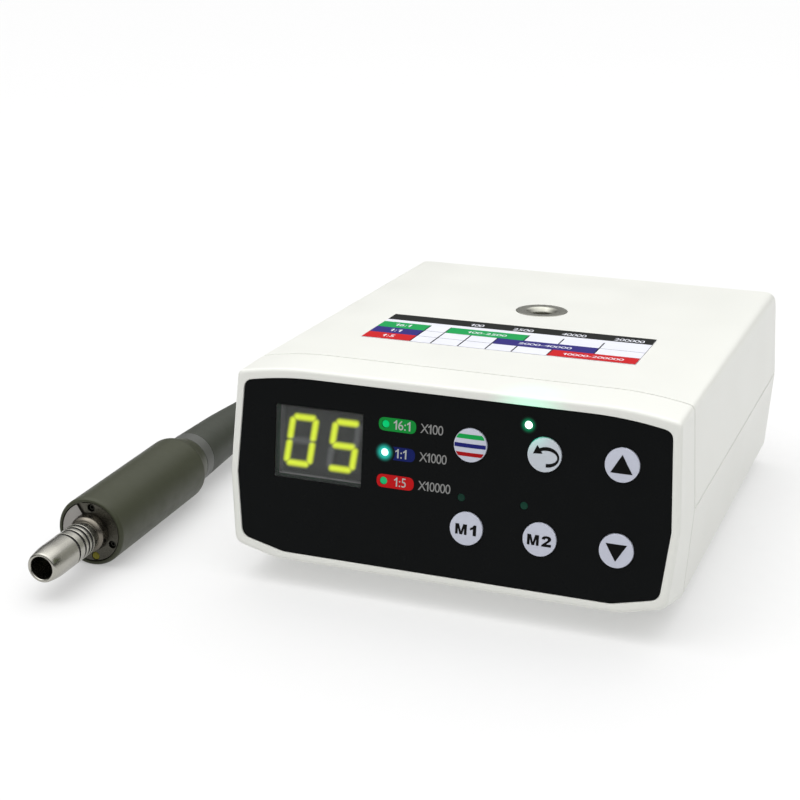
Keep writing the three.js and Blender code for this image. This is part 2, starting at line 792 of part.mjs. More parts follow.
function tube(points, steps) {
  const path = new THREE.CatmullRomCurve3(points.map((p) => new THREE.Vector3(...p)));
  const section = new THREE.Shape();
  for (let i = 0; i < 8; i += 1) {
    const angle = ((i + 0.5) / 8) * 2 * Math.PI;
    const x = HOSE_RADIUS * Math.cos(angle);
    const y = HOSE_RADIUS * Math.sin(angle);
    if (i === 0) section.moveTo(x, y);
    else section.lineTo(x, y);
  }
  section.closePath();
  return new THREE.ExtrudeGeometry(section, { steps, extrudePath: path, bevelEnabled: false });
}

function addHose() {
  piece(hose, 'hose_lead', tube(LEAD, 2), HOSE_GREY);
  piece(hose, 'hose_run', tube([...RUN, sleeveMouth()], 12), HOSE_GREY);
  const inner = COIL.inner - HOSE_RADIUS - 0.2;
  const outer = COIL.outer + HOSE_RADIUS + 0.2;
  const bundle = ring(inner, outer, 0.1, COIL.high + HOSE_RADIUS);
  piece(hose, 'hose_coil', upright(bundle, COIL.x, COIL.y, 36), HOSE_GREY);
}

// ---------------------------------------------------------------- the whole set

addFront();
addKeys();
addKeyBoard();
addCovers();
addTop();
addRear();
addInsides();
addMotorShell();
addMotorInsides();
addHose();

const set = new THREE.Group();
set.add(unit, motor, hose);

// The origin is under the middle of the unit and the motor; the hose doesn't count.
const footprint = new THREE.Box3().setFromObject(unit, true).expandByObject(motor, true);
const middle = footprint.getCenter(new THREE.Vector3());
set.position.set(-middle.x, -middle.y, 0);

export default set;
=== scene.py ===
"""Looks for a dental electric micromotor set: a control unit, its motor handpiece and their hose.

Shapes are drawn in millimetres in a few drawing frames, and a matrix turns each of them into the
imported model's frame: UNIT (x = 0 the unit's plane of symmetry, y = 0 the seam behind the bezel,
z = 0 the table), FACE (x across the keypad, y up its slope, z out of it), ROOF (y down the slope of
the top, from the seam), CHART (the same, turned with the label), BACK (x, height, depth), MOTOR
(y along the motor's axis) and MOTOR_FACE (its x and z, then y).
"""

import json
import math

import bmesh
import bpy
from mathutils import Matrix, Vector


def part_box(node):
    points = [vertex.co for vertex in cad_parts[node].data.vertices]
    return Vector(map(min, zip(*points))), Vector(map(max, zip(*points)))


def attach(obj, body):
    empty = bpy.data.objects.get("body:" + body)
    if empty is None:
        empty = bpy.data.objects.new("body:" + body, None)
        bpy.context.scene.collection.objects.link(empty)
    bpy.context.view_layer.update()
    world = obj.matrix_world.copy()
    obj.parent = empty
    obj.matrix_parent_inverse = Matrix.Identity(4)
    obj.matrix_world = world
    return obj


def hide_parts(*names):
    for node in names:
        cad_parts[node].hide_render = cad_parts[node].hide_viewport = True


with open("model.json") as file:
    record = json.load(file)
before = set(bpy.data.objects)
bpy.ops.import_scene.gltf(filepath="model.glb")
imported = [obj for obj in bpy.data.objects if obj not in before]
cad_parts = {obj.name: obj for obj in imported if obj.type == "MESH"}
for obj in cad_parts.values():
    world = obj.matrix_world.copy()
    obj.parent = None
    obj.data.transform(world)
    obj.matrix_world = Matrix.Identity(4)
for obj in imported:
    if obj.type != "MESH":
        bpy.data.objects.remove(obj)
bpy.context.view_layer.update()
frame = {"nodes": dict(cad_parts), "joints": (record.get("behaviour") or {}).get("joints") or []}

# ---------------- sizes, in millimetres

MM = 0.001
GAP = 0.3  # between pieces that touch
WALL = 2.4
RIM = 2.6
PANEL_SINK = 0.4
PANEL_BACK = 1.4
CASE_DEPTH = 143.4
CREASE = 35.0
TOP = 69.2  # at the seam
REAR_TOP = 65.2
FRONT_Y = -24.34  # where the leaning front meets the table
UNDERSIDE_LIFT = 6.2
HOSE_RADIUS = 4.5

# Corners of the case section at the seam, right half: half width, height and fillet.
SECTION = [
    (54.7, 2.5, 1.0), (68.7, 5.8, 2.2), (70.8, CREASE, 0.0), (69.1, 66.6, 1.8), (56.0, TOP, 10.8),
]
REAR_SECTION = [*SECTION[:3], (69.1, REAR_TOP, 4.0), (56.0, REAR_TOP, 8.0)]
PANEL_SECTION = [*SECTION[:3], (69.1, 66.3, 2.4), (56.0, 68.8, 10.8)]
FILLET_STEPS = 8
PER_FILLET = FILLET_STEPS + 1
RIGHT_CREASE = 2 * PER_FILLET  # index of the crease's point on the right of an outline
LEFT_CREASE = 6 * PER_FILLET + 1

# ---------------- drawing frames

SWAP = Matrix(((1, 0, 0, 0), (0, 0, 1, 0), (0, 1, 0, 0), (0, 0, 0, 1)))
UPEND = Matrix.Rotation(math.pi / 2, 4, "X")  # turns a body of revolution's axis from y to z

cover_low, cover_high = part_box("upper_cover")
joints = {joint["name"]: joint for joint in frame["joints"]}
press = Vector(joints["up_key_press"]["axis"])
spin_axis = Vector(joints["rotor_spin"]["axis"])
LEAN = math.atan2(-press.z, press.y)


def shift(x, y, z):
    return Matrix.Translation((x, y, z))


UNIT = shift((cover_low.x + cover_high.x) / 2, cover_low.y - GAP * MM, 0) @ Matrix.Scale(MM, 4)
LEANED = shift(0, FRONT_Y, 0) @ Matrix.Rotation(math.pi / 2 - LEAN, 4, "X")
FACE = UNIT @ LEANED
FALL = math.atan((TOP - REAR_TOP) / (CASE_DEPTH - GAP))
ROOF = UNIT @ shift(0, GAP, TOP) @ Matrix.Rotation(-FALL, 4, "X")
BACK = UNIT @ SWAP
MOTOR = (
    shift(*joints["rotor_spin"]["pos_m"])
    @ Matrix.Rotation(math.atan2(-spin_axis.x, spin_axis.y), 4, "Z")
    @ Matrix.Scale(MM, 4)
)
MOTOR_FACE = MOTOR @ SWAP

ROOT = "control_set"


def extent(node, drawing):
    """Lowest and highest corner of a CAD node in a drawing frame."""
    back = drawing.inverted()
    points = [back @ vertex.co for vertex in frame["nodes"][node].data.vertices]
    axes = list(zip(*points))
    return Vector([min(axis) for axis in axes]), Vector([max(axis) for axis in axes])


def centre(node, drawing):
    low, high = extent(node, drawing)
    return (low + high) / 2


def over(node, drawing):
    """The drawing frame moved in x and y to a node's centre."""
    at = centre(node, drawing)
    return drawing @ shift(at.x, at.y, 0)


def along(node, drawing):
    """The drawing frame moved so that its y axis runs through a node's centre."""
    at = centre(node, drawing)
    return drawing @ shift(at.x, 0, at.z)


def put(name, data):
    item = bpy.data.objects.new(name, data)
    bpy.context.scene.collection.objects.link(item)
    return item


LABEL_TURN = math.radians(1)
CHART = over("speed_chart_label", ROOF) @ Matrix.Rotation(LABEL_TURN, 4, "Z")

# ---------------- camera, light and floor

CAMERA_AT = (155.0, -455.3, 219.7)
CAMERA_YAW = math.radians(21.24)
CAMERA_DIP = math.radians(18.38)
LENS = 75.2
SKY_LOW, SKY_HIGH = 0.05, 2.6  # brightness at the horizon and overhead


def aim(item, at, way):
    item.location = at
    item.rotation_mode = "QUATERNION"
    item.rotation_quaternion = way.to_track_quat("-Z", "Y")


def add_camera():
    ahead = Vector((
        -math.sin(CAMERA_YAW) * math.cos(CAMERA_DIP),
        math.cos(CAMERA_YAW) * math.cos(CAMERA_DIP),
        -math.sin(CAMERA_DIP),
    ))
    data = bpy.data.cameras.new("camera")
    data.lens = LENS
    data.sensor_width = 36
    data.clip_start = 0.01
    camera = put("camera", data)
    aim(camera, UNIT @ Vector(CAMERA_AT), ahead)
    bpy.context.scene.camera = camera


def add_light(name, at, target, size, power):
    data = bpy.data.lights.new(name, "AREA")
    data.shape = "DISK"
    data.size = size
    data.energy = power
    aim(put(name, data), at, Vector(target) - Vector(at))


def add_studio():
    """A white tent that is bright overhead and dim at the horizon, and two soft lights."""
    scene = bpy.context.scene
    scene.view_settings.view_transform = "Standard"
    world = bpy.data.worlds.new("studio")
    world.use_nodes = True
    tree = world.node_tree
    way = shader_node(tree, "TexCoord", {}).outputs["Generated"]
    up = shader_node(tree, "SeparateXYZ", {"Vector": way}).outputs["Z"]
    square = shader_node(tree, "Math", {0: up, 1: 2}, operation="POWER", use_clamp=True)
    strength = ramped(tree, square.outputs["Value"], 0, 1, SKY_LOW, SKY_HIGH)
    background = tree.nodes["Background"]
    background.inputs["Color"].default_value = (1, 1, 1, 1)
    tree.links.new(strength, background.inputs["Strength"])
    scene.world = world
    middle = (0, 0, 0.03)
    add_light("key", (-0.45, -0.35, 1.1), middle, 0.8, 1.5)
    add_light("back", (0.2, 0.9, 0.9), middle, 0.8, 0.5)


# ---------------- materials


def shader_node(tree, kind, inputs, **settings):
    """A new node with some settings, each of its inputs a value or a socket to link."""
    node = tree.nodes.new("ShaderNode" + kind)
    for key, value in settings.items():
        setattr(node, key, value)
    for key, value in inputs.items():
        if isinstance(value, bpy.types.NodeSocket):
            tree.links.new(value, node.inputs[key])
        else:
            node.inputs[key].default_value = value
    return node


def noise(tree, vector, size):
    """Noise whose features are about size millimetres across."""
    inputs = {"Scale": 1 / (size * MM), "Detail": 3.0, "Vector": vector}
    return shader_node(tree, "TexNoise", inputs).outputs["Fac"]


def ramped(tree, value, x0, x1, y0, y1, **settings):
    """What goes from y0 to y1 while a value goes from x0 to x1."""
    inputs = {"From Min": x0, "From Max": x1, "To Min": y0, "To Max": y1, "Value": value}
    return shader_node(tree, "MapRange", inputs, **settings).outputs["Result"]


def mixed(tree, factor, first, second):
    """A node that goes from one colour to another with the factor."""
    inputs = {"A": (*first, 1), "B": (*second, 1), "Factor": factor}
    return shader_node(tree, "Mix", inputs, data_type="RGBA")


def look(name, color, rough, metal=0.0, mottle=(20, 0.03), grain=(0.5, 0.004), uneven=(6, 0.05),
         stretch=(1, 1, 1), **values):
    """A material with a mottled colour, a fine grain in its surface and uneven roughness.

    mottle, grain and uneven are each a feature size in millimetres and an amount: a share of the
    colour, a height in millimetres, and a change of roughness. stretch squeezes the grain."""
    material = bpy.data.materials.new(name)
    material.use_nodes = True
    tree = material.node_tree
    shader = tree.nodes["Principled BSDF"]
    for key, value in {"Metallic": metal, **values}.items():
        shader.inputs[key.replace("_", " ")].default_value = value
    place = shader_node(tree, "TexCoord", {}).outputs["Object"]
    squeezed = shader_node(tree, "Mapping", {"Scale": stretch, "Vector": place}).outputs["Vector"]
    size, share = mottle
    dark, pale = [c * (1 - share) for c in color], [min(1, c * (1 + share)) for c in color]
    tint = mixed(tree, noise(tree, place, size), dark, pale)
    tree.links.new(tint.outputs["Result"], shader.inputs["Base Color"])
    size, change = uneven
    patches = noise(tree, squeezed, size)
    roughness = ramped(tree, patches, *NOISE_RANGE, max(0, rough - change), rough + change)
    tree.links.new(roughness, shader.inputs["Roughness"])
    size, height = grain
    bump_inputs = {"Distance": height * MM, "Height": noise(tree, squeezed, size)}
    bump = shader_node(tree, "Bump", bump_inputs)
    tree.links.new(bump.outputs["Normal"], shader.inputs["Normal"])
    return material


def glowing(material, color, strength):
    shader = material.node_tree.nodes["Principled BSDF"]
    shader.inputs["Emission Color"].default_value = (*color, 1)
    shader.inputs["Emission Strength"].default_value = strength
    return material


def lit_from(material, at, reach, color):
    """Adds the glow that a lamp at a point casts on a surface near it."""
    tree = material.node_tree
    place = shader_node(tree, "TexCoord", {}).outputs["Object"]
    away = shader_node(tree, "VectorMath", {0: place, 1: at}, operation="DISTANCE")
    fade = ramped(tree, away.outputs["Value"], 0, reach * MM, 1, 0,
                  interpolation_type="SMOOTHERSTEP")
    tint = mixed(tree, fade, (0, 0, 0), color)
    shader = tree.nodes["Principled BSDF"]
    tree.links.new(tint.outputs["Result"], shader.inputs["Emission Color"])
    shader.inputs["Emission Strength"].default_value = 1
    return material


def brushed(name, color, rough, lines):
    """Turned or brushed metal, whose fine lines run across the squeezed direction."""
    return look(name, color, rough, 1.0, (6, 0.08), (0.25, 0.006), (0.6, 0.08), lines)


WHITE = (0.76, 0.765, 0.72)
LIT_LED = centre("led_reverse", FACE)

NOISE_RANGE = (0.3, 0.7)  # where most of a noise texture's values lie
MATT = {"Specular_IOR_Level": 0.06}


def ink(name, color, rough):
    """A print, which hardly shines."""
    return look(name, color, rough, **MATT)


def inks(kind, rough, **colors):
    return [ink(f"{kind}_{name}", color, rough) for name, color in colors.items()]


# white_abs carries a painted green glow round the reverse lamp, put on as emission by lit_from.
white_abs = lit_from(
    look("white_abs", WHITE, 0.33, mottle=(40, 0.01), grain=(14, 0.004), uneven=(20, 0.03)),
    FACE @ LIT_LED, 17, (0.0, 0.6, 0.3),
)
PANEL_BLACK = (0.0040, 0.0046, 0.0048)
black_panel = look("black_panel", PANEL_BLACK, 0.3, Specular_IOR_Level=0.05)
print_grey = look("print_grey", (0.23, 0.23, 0.225), 0.5, grain=(0.2, 0.004))
print_white = look("print_white", (0.40, 0.42, 0.41), 0.5, grain=(0.2, 0.004))
print_black = look("print_black", (0.004, 0.004, 0.004), 0.45, grain=(0.2, 0.004), **MATT)
pills = inks("pill", 0.4, green=(0.007, 0.242, 0.038), blue=(0.008, 0.014, 0.107),
             red=(0.485, 0.008, 0.0097))
CAP = {"rough": 0.42, "mottle": (3, 0.03), "grain": (0.25, 0.004)}
key_white = look("key_white", (0.53, 0.55, 0.64), **CAP)
# key_lit is a copy of the key material, tinted greener, with the reverse lamp's glow painted on as
# emission.
key_lit = lit_from(look("key_lit", (0.53, 0.57, 0.62), **CAP), FACE @ LIT_LED, 11, (0, 0.55, 0.34))
stripes = inks("stripe", 0.42, green=(0.009, 0.33, 0.070), blue=(0.014, 0.016, 0.150),
               red=(0.36, 0.006, 0.008))
paper = look("paper", (0.76, 0.77, 0.84), 0.35, mottle=(8, 0.02), grain=(0.3, 0.003))
papers = inks("paper", 0.35, green=(0.008, 0.30, 0.075), blue=(0.028, 0.022, 0.17),
              red=(0.50, 0.010, 0.013), black=(0.012, 0.013, 0.012))
grey_line = ink("grey_line", (0.10, 0.11, 0.11), 0.5)
bright_steel = brushed("bright_steel", (0.40, 0.39, 0.35), 0.22, (1, 14, 1))
turned_steel = brushed("turned_steel", (0.50, 0.49, 0.45), 0.33, (1, 10, 1))
plate_steel = brushed("plate_steel", (0.27, 0.26, 0.245), 0.36, (1, 1, 8))
dark_steel = brushed("dark_steel", (0.085, 0.082, 0.068), 0.30, (1, 1, 8))
brown_steel = brushed("brown_steel", (0.17, 0.155, 0.13), 0.25, (1, 6, 1))
black_screw = brushed("black_screw", (0.03, 0.03, 0.026), 0.35, (1, 1, 1))
socket_steel = brushed("socket_steel", (0.42, 0.42, 0.37), 0.34, (1, 1, 1))
zinc = brushed("zinc", (0.42, 0.42, 0.42), 0.4, (1, 1, 6))
brass_metal = brushed("brass_metal", (0.62, 0.46, 0.20), 0.32, (1, 9, 1))
olive = look(
    "olive", (0.040, 0.0435, 0.024), 0.42, 0.12, (14, 0.06), (0.18, 0.005), (5, 0.05),
    Specular_IOR_Level=0.3,
)
collar_grey = look("collar_grey", (0.085, 0.088, 0.080), 0.42, 0.3, (9, 0.05), (0.2, 0.005))
sleeve_rubber = look(
    "sleeve_rubber", (0.032, 0.036, 0.026), 0.5, 0.0, (10, 0.05), (0.3, 0.008),
    Specular_IOR_Level=0.35,
)
hose_jacket = look("hose_jacket", (0.050, 0.053, 0.046), 0.48, 0.0, (25, 0.07), (0.6, 0.012))
black_rubber = look("black_rubber", (0.012, 0.012, 0.012), 0.6, 0.0, (3, 0.1), (0.2, 0.01))
black_plastic = look("black_plastic", (0.014, 0.014, 0.015), 0.5, 0.0, (5, 0.08), (0.3, 0.01))
phosphor = look("phosphor", (0.20, 0.18, 0.012), 0.4, grain=(0.3, 0.01), Specular_IOR_Level=0.2)
copper = look("copper", (0.55, 0.22, 0.09), 0.35, 1.0, (2, 0.2), (0.5, 0.05), (1, 0.1), (6, 1, 6))
magnet_metal = look("magnet_metal", (0.32, 0.32, 0.33), 0.35, 1.0, (4, 0.08), (0.3, 0.006))
solder_mask = look("solder_mask", (0.012, 0.10, 0.035), 0.35, 0.0, (5, 0.25), (1.2, 0.05))

# ---------------- shapes
# A shape is a list of points and a list of faces, and may name a material's index as a third.


def loft(loops, wrap=False, caps=True, index=0):
    """A skin through loops of equally many points. wrap joins the last loop to the first."""
    count = len(loops[0])
    points = [point for loop in loops for point in loop]
    faces = []
    for i in range(len(loops) if wrap else len(loops) - 1):
        a, b = i * count, (i + 1) % len(loops) * count
        faces += [(a + j, a + (j + 1) % count, b + (j + 1) % count, b + j) for j in range(count)]
    if caps and not wrap:
        faces += [tuple(range(count)), tuple(range(len(points) - count, len(points)))]
    return points, faces, index


def filleted(corners, steps=FILLET_STEPS, closed=True):
    """Points along an outline of (x, y, fillet) corners, each rounded by its fillet."""
    points = []
    for i, (x, y, fillet) in enumerate(corners):
        at = Vector((x, y))
        if fillet == 0 or (not closed and i in (0, len(corners) - 1)):
            points.append((x, y))
            continue
        before = Vector(corners[i - 1][:2])
        after = Vector(corners[(i + 1) % len(corners)][:2])
        start = at + (before - at).normalized() * fillet
        end = at + (after - at).normalized() * fillet
        for k in range(steps + 1):
            t = k / steps
            points.append(tuple(start * (1 - t) ** 2 + at * 2 * t * (1 - t) + end * t**2))
    return points


def lathe(profile, segments=96, wrap=False, index=0, flutes=0, depth=0.0, steps=4):
    """A body turned about y from (radius, station, fillet) corners; flutes cut its outside."""
    corners = [(*corner, 0)[:3] for corner in profile]
    line = filleted(corners, steps, closed=wrap)
    loops = []
    widest = max(radius for radius, _ in line)
    for radius, station in line:
        loop = []
        for k in range(segments):
            angle = 2 * math.pi * k / segments
            cut = depth * (0.5 + 0.5 * math.cos(flutes * angle)) if radius > widest - 0.3 else 0
            reach = radius - (cut if flutes else 0)
            loop.append((reach * math.sin(angle), station, reach * math.cos(angle)))
        loops.append(loop)
    return loft(loops, wrap, caps=False, index=index)


def circle(radius, x=0.0, y=0.0, count=64):
    turns = [2 * math.pi / count * k for k in range(count)]
    return [(x + radius * math.cos(a), y + radius * math.sin(a)) for a in turns]


def box_outline(x0, x1, y0, y1, fillet=0.0, steps=6):
    corners = [(x0, y0, fillet), (x1, y0, fillet), (x1, y1, fillet), (x0, y1, fillet)]
    return filleted(corners, steps)


def around(low, high, gap, fillet):
    """The outline of an extent, grown all round."""
    return box_outline(low.x - gap, high.x + gap, low.y - gap, high.y + gap, fillet)


def from_curve(curve, index):
    """The shape of a curve or text, whose data are then dropped."""
    holder = put("holder", curve)
    evaluated = holder.evaluated_get(bpy.context.evaluated_depsgraph_get())
    mesh = bpy.data.meshes.new_from_object(evaluated)
    points = [tuple(vertex.co) for vertex in mesh.vertices]
    faces = [tuple(polygon.vertices) for polygon in mesh.polygons]
    bpy.data.objects.remove(holder)
    bpy.data.curves.remove(curve)
    bpy.data.meshes.remove(mesh)
    return points, faces, index


def plate(outlines, low, high, bevel=0.0, index=0):
    """A flat plate between two heights: the first outline is its edge, the others are holes."""
    curve = bpy.data.curves.new("plate", "CURVE")
    curve.dimensions = "2D"
    curve.fill_mode = "BOTH"
    curve.extrude = (high - low) / 2 - bevel
    curve.bevel_depth = bevel
    curve.bevel_resolution = 2
    curve.offset = -bevel
    for outline in outlines:
        spline = curve.splines.new("POLY")
        spline.points.add(len(outline) - 1)
        for point, (x, y) in zip(spline.points, outline):
            point.co = (x, y, 0, 1)
        spline.use_cyclic_u = True
    points, faces, _ = from_curve(curve, index)
    middle = (low + high) / 2
    return [(x, y, z + middle) for x, y, z in points], faces, index


def typed(text):
    curve = bpy.data.curves.new("typed", "FONT")
    curve.body = text
    curve.extrude = 0.5
    return from_curve(curve, 0)[:2]


FIGURE_LOW = min(point[1] for point in typed("0")[0])
FIGURE_HIGH = max(point[1] for point in typed("0")[0])
ONE = [
    (0.27, 0), (0.44, 0), (0.44, 1), (0.31, 1), (0.22, 0.87), (0.04, 0.76), (0.04, 0.62),
    (0.27, 0.72),
]
ADVANCE = {"1": 0.56, ":": 0.36, "-": 0.46, "X": 0.78}  # in heights of a figure
USUAL_ADVANCE = 0.66


def advance(character):
    return ADVANCE.get(character, USUAL_ADVANCE)


def glyph(character):
    """A character drawn one unit high, from its left edge and from z = 0 to 1."""
    if character == "1":
        return plate([ONE], 0, 1)[:2]
    points, faces = typed(character)
    tall = FIGURE_HIGH - FIGURE_LOW
    left, right = min(p[0] for p in points), max(p[0] for p in points)
    spare = advance(character) - (right - left) / tall
    return [((px - left) / tall + spare / 2, (py - FIGURE_LOW) / tall, pz + 0.5)
            for px, py, pz in points], faces


def lettering(text, x, y, width, height, low, high, anchor=0.5, index=0):
    """Raised print whose left edge, middle or right edge is at x, as anchor says (0, 0.5, 1)."""
    total = sum(advance(character) for character in text)
    points, faces, start = [], [], 0.0
    for character in text:
        glyph_points, glyph_faces = glyph(character)
        base = len(points)
        for px, py, pz in glyph_points:
            across = x + ((start + px) / total - anchor) * width
            points.append((across, y + (py - 0.5) * height, low + pz * (high - low)))
        faces += [tuple(i + base for i in face) for face in glyph_faces]
        start += advance(character)
    return points, faces, index


def placed(shape, matrix):
    points, faces, index = shape
    return [tuple(matrix @ Vector(point)) for point in points], faces, index


MERGE = 1e-4


def merged(shapes):
    """A bmesh of some shapes, with the points that coincide made one."""
    work = bmesh.new()
    for points, faces, index in shapes:
        made = [work.verts.new(point) for point in points]
        for face in faces:
            work.faces.new([made[i] for i in face]).material_index = index
    bmesh.ops.remove_doubles(work, verts=work.verts, dist=MERGE)
    return work


def mesh_of(name, shapes):
    """One mesh of several closed shapes, in their drawing frame."""
    mesh = bpy.data.meshes.new(name)
    work = merged(shapes)
    bmesh.ops.dissolve_degenerate(work, edges=work.edges, dist=1e-5)
    bmesh.ops.recalc_face_normals(work, faces=work.faces)
    work.to_mesh(mesh)
    work.free()
    return mesh


def carved(mesh, cutters):
    """The mesh with each cutter's shape taken out of it."""
    body = put("body", mesh)
    tools = [put("tool", mesh_of("tool", [cutter])) for cutter in cutters]
    for tool in tools:
        modifier = body.modifiers.new("cut", "BOOLEAN")
        modifier.operation = "DIFFERENCE"
        modifier.solver = "EXACT"
        modifier.object = tool
    evaluated = body.evaluated_get(bpy.context.evaluated_depsgraph_get())
    result = bpy.data.meshes.new_from_object(evaluated)
    result.materials.clear()
    for item in (body, *tools):
        bpy.data.objects.remove(item)
    return result


def piece(name, shapes, drawing, looks, replaces=None, body=ROOT, crisp=32, cutters=()):
    """Builds a visible piece from shapes in a drawing frame, and fixes it to its body."""
    mesh = mesh_of(name, shapes)
    if cutters:
        mesh = carved(mesh, cutters)
    mesh.name = name
    mesh.transform(drawing)
    if drawing.determinant() < 0:
        mesh.flip_normals()
    for polygon in mesh.polygons:
        polygon.use_smooth = True
    mesh.set_sharp_from_angle(angle=math.radians(crisp))
    for material in [looks] if isinstance(looks, bpy.types.Material) else looks:
        mesh.materials.append(material)
    item = put(name, mesh)
    item.modifiers.new("normals", "WEIGHTED_NORMAL").keep_sharp = True
    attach(item, body)
    if replaces:
        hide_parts(replaces)
    return item


def turned(name, profile, segments, drawing, material, slot, node, **more):
    """A visible piece that is a plain body turned about y."""
    piece(name, [lathe(profile, segments, **more)], drawing, material, node)


# ---------------- hose

COIL_X, COIL_Y = -50.0, 218.0
COIL_TURNS = 4.5
COIL_OUTER = 61.5
LOW_LAYER, HIGH_LAYER = 4.6, 13.7
TURN_PITCH = 2 * HOSE_RADIUS
POINTS_A_TURN = 24
DROP_TURNS = 0.3  # the share of a turn in which the hose goes from the high layer to the low one

# The lead out of the rear boot and the run to the motor follow the design's own route.
LEAD = [
    (11.5, 178.3, 20.0), (11.5, 184.0, 19.7), (11.5, 190.0, 18.9), (11.5, 196.5, 17.6),
    (11.5, 203.5, 15.9), (11.5, 210.5, 14.4),
]
RUN = [
    (-111.7, 204.0, LOW_LAYER), (-111.9, 194.0, LOW_LAYER), (-112.3, 184.0, LOW_LAYER),
    (-113.2, 176.0, LOW_LAYER), (-114.7, 166.0, LOW_LAYER), (-116.5, 155.0, LOW_LAYER),
    (-118.4, 144.0, 4.9), (-119.8, 133.0, 6.1), (-120.6, 122.0, 8.2), (-120.5, 112.0, 10.2),
    (-120.2, 103.0, 11.3),
]


def coil_points():
    """The wound hose: in along the high layer, down at the middle, and out along the low layer."""
    points = []
    count = round(COIL_TURNS * POINTS_A_TURN)
    for k in range(count + 1):
        turns = k / POINTS_A_TURN
        inward = min(turns, COIL_TURNS - turns)
        radius = COIL_OUTER - TURN_PITCH * inward
        t = min(1, max(0, (turns - COIL_TURNS / 2) / DROP_TURNS + 0.5))
        drop = t * t * (3 - 2 * t)
        height = HIGH_LAYER + (LOW_LAYER - HIGH_LAYER) * drop
        angle = 2 * math.pi * turns
        x, y = COIL_X + radius * math.cos(angle), COIL_Y + radius * math.sin(angle)
        points.append((x, y, height))
    return points


def add_hose():
    mouth = UNIT.inverted() @ (MOTOR @ Vector((0, extent("hose_sleeve", MOTOR)[1].y + GAP, 0)))
    route = [*LEAD, *coil_points(), *RUN, tuple(mouth)]
    curve = bpy.data.curves.new("hose", "CURVE")
    curve.dimensions = "3D"
    curve.bevel_depth = HOSE_RADIUS * MM
    curve.bevel_resolution = 8
    curve.resolution_u = 6
    curve.use_fill_caps = True
    spline = curve.splines.new("BEZIER")
    spline.bezier_points.add(len(route) - 1)
    places = [UNIT @ Vector(point) for point in route]
    for i, (point, at) in enumerate(zip(spline.bezier_points, places)):
        before, after = places[max(0, i - 1)], places[min(len(places) - 1, i + 1)]
        way = (after - before).normalized()
        point.co = at
        point.handle_left = at - way * (at - before).length / 3
        point.handle_right = at + way * (after - at).length / 3
    curve.materials.append(hose_jacket)
    hose = put("hose", curve)
    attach(hose, ROOT)
    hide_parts("hose_lead", "hose_coil", "hose_run")


# ---------------- case


def mirrored(right):
    return filleted(right + [(-x, up, fillet) for x, up, fillet in reversed(right)])


def inward(z):
    """Which way is inwards at a corner's height: up, down, or neither at the crease."""
    return 0 if z == CREASE else math.copysign(1, CREASE - z)


def case_outline(corners, inset):
    return mirrored([(x - inset, z + inset * inward(z), fillet) for x, z, fillet in corners])


def section(inset, y=0.0):
    """The case section at a station as (x, z) points, shrunk all round."""
    share = max(0, y - GAP) / (CASE_DEPTH - GAP)
    pairs = zip(case_outline(SECTION, inset), case_outline(REAR_SECTION, inset))
    return [(x0 + (x1 - x0) * share, z0 + (z1 - z0) * share) for (x0, z0), (x1, z1) in pairs]


def face_outline(inset, corners=SECTION):
    """The front's outline on its slope as (x, up) points, shrunk all round."""
    right = []
    for x, z, fillet in corners:
        lift = UNDERSIDE_LIFT * min(1, max(0, (CREASE - z) / (CREASE - SECTION[1][1])))
        up = (z + lift) / math.cos(LEAN) + inset * inward(z)
        right.append((x - inset, up, 2.6 if fillet == 2.2 else fillet))
    return mirrored(right)


def at_station(inset, y):
    return [(x, y, z) for x, z in section(inset, y)]


def at_front(inset, depth, corners=SECTION):
    return [tuple(LEANED @ Vector((x, up, -depth))) for x, up in face_outline(inset, corners)]


def rounding(radius, steps=5):
    """(inset, depth) pairs round an outside edge, from its side to its face."""
    turns = [math.pi / 2 * k / steps for k in range(steps + 1)]
    return [(radius * (1 - math.cos(a)), radius * (1 - math.sin(a))) for a in turns]


def add_bezel():
    loops = [at_station(4.1, 6), at_station(WALL + GAP, 6), at_station(WALL + GAP, 0.05)]
    loops += [at_station(0.7, 0.05), at_station(0.6, -0.1), at_station(0.1, -0.25)]
    loops.append(at_station(0, -0.6))
    loops += [at_front(inset, depth) for inset, depth in rounding(1.2)]
    edge = [(RIM - 0.4, 0), (RIM - 0.2, 0.06), (RIM - 0.1, 0.28), (RIM - 0.1, 1.7)]
    for inset, depth in [*edge, (6.5, 1.7), (6.5, 3.2)]:
        loops.append(at_front(inset, depth, PANEL_SECTION))
    loops += [at_front(WALL, 3.3), at_station(WALL, -2), at_station(4.1, -1.5)]
    piece("bezel", [loft(loops, wrap=True)], UNIT, white_abs, "front_bezel")


def half_section(inset, upper, y):
    """Half of the section, from crease to crease, its ends eased where the covers meet."""
    points = section(inset, y)
    if upper:
        half = points[RIGHT_CREASE : LEFT_CREASE + 1]
    else:
        half = points[LEFT_CREASE:] + points[: RIGHT_CREASE + 1]
    side = 1 if upper else -1
    (x0, z0), (x1, z1) = half[0], half[-1]
    starts = [(x0 - math.copysign(0.22, x0), z0 + side * 0.1), (x0, z0 + side * 0.35)]
    ends = [(x1, z1 + side * 0.35), (x1 - math.copysign(0.22, x1), z1 + side * 0.1)]
    return starts + half[1:-1] + ends


def cover(upper):
    loops = []
    stations = [(0.6, GAP), (0.1, GAP + 0.15), (0, GAP + 0.5)]
    stations += [(inset, CASE_DEPTH - depth) for inset, depth in rounding(0.9, 4)]
    for inset, y in stations:
        outline = half_section(inset, upper, y) + half_section(WALL, upper, y)[::-1]
        loops.append([(x, y, z) for x, z in outline])
    return loft(loops)


def recess(matrix, profile):
    return placed(lathe(profile, 64), matrix @ UPEND)


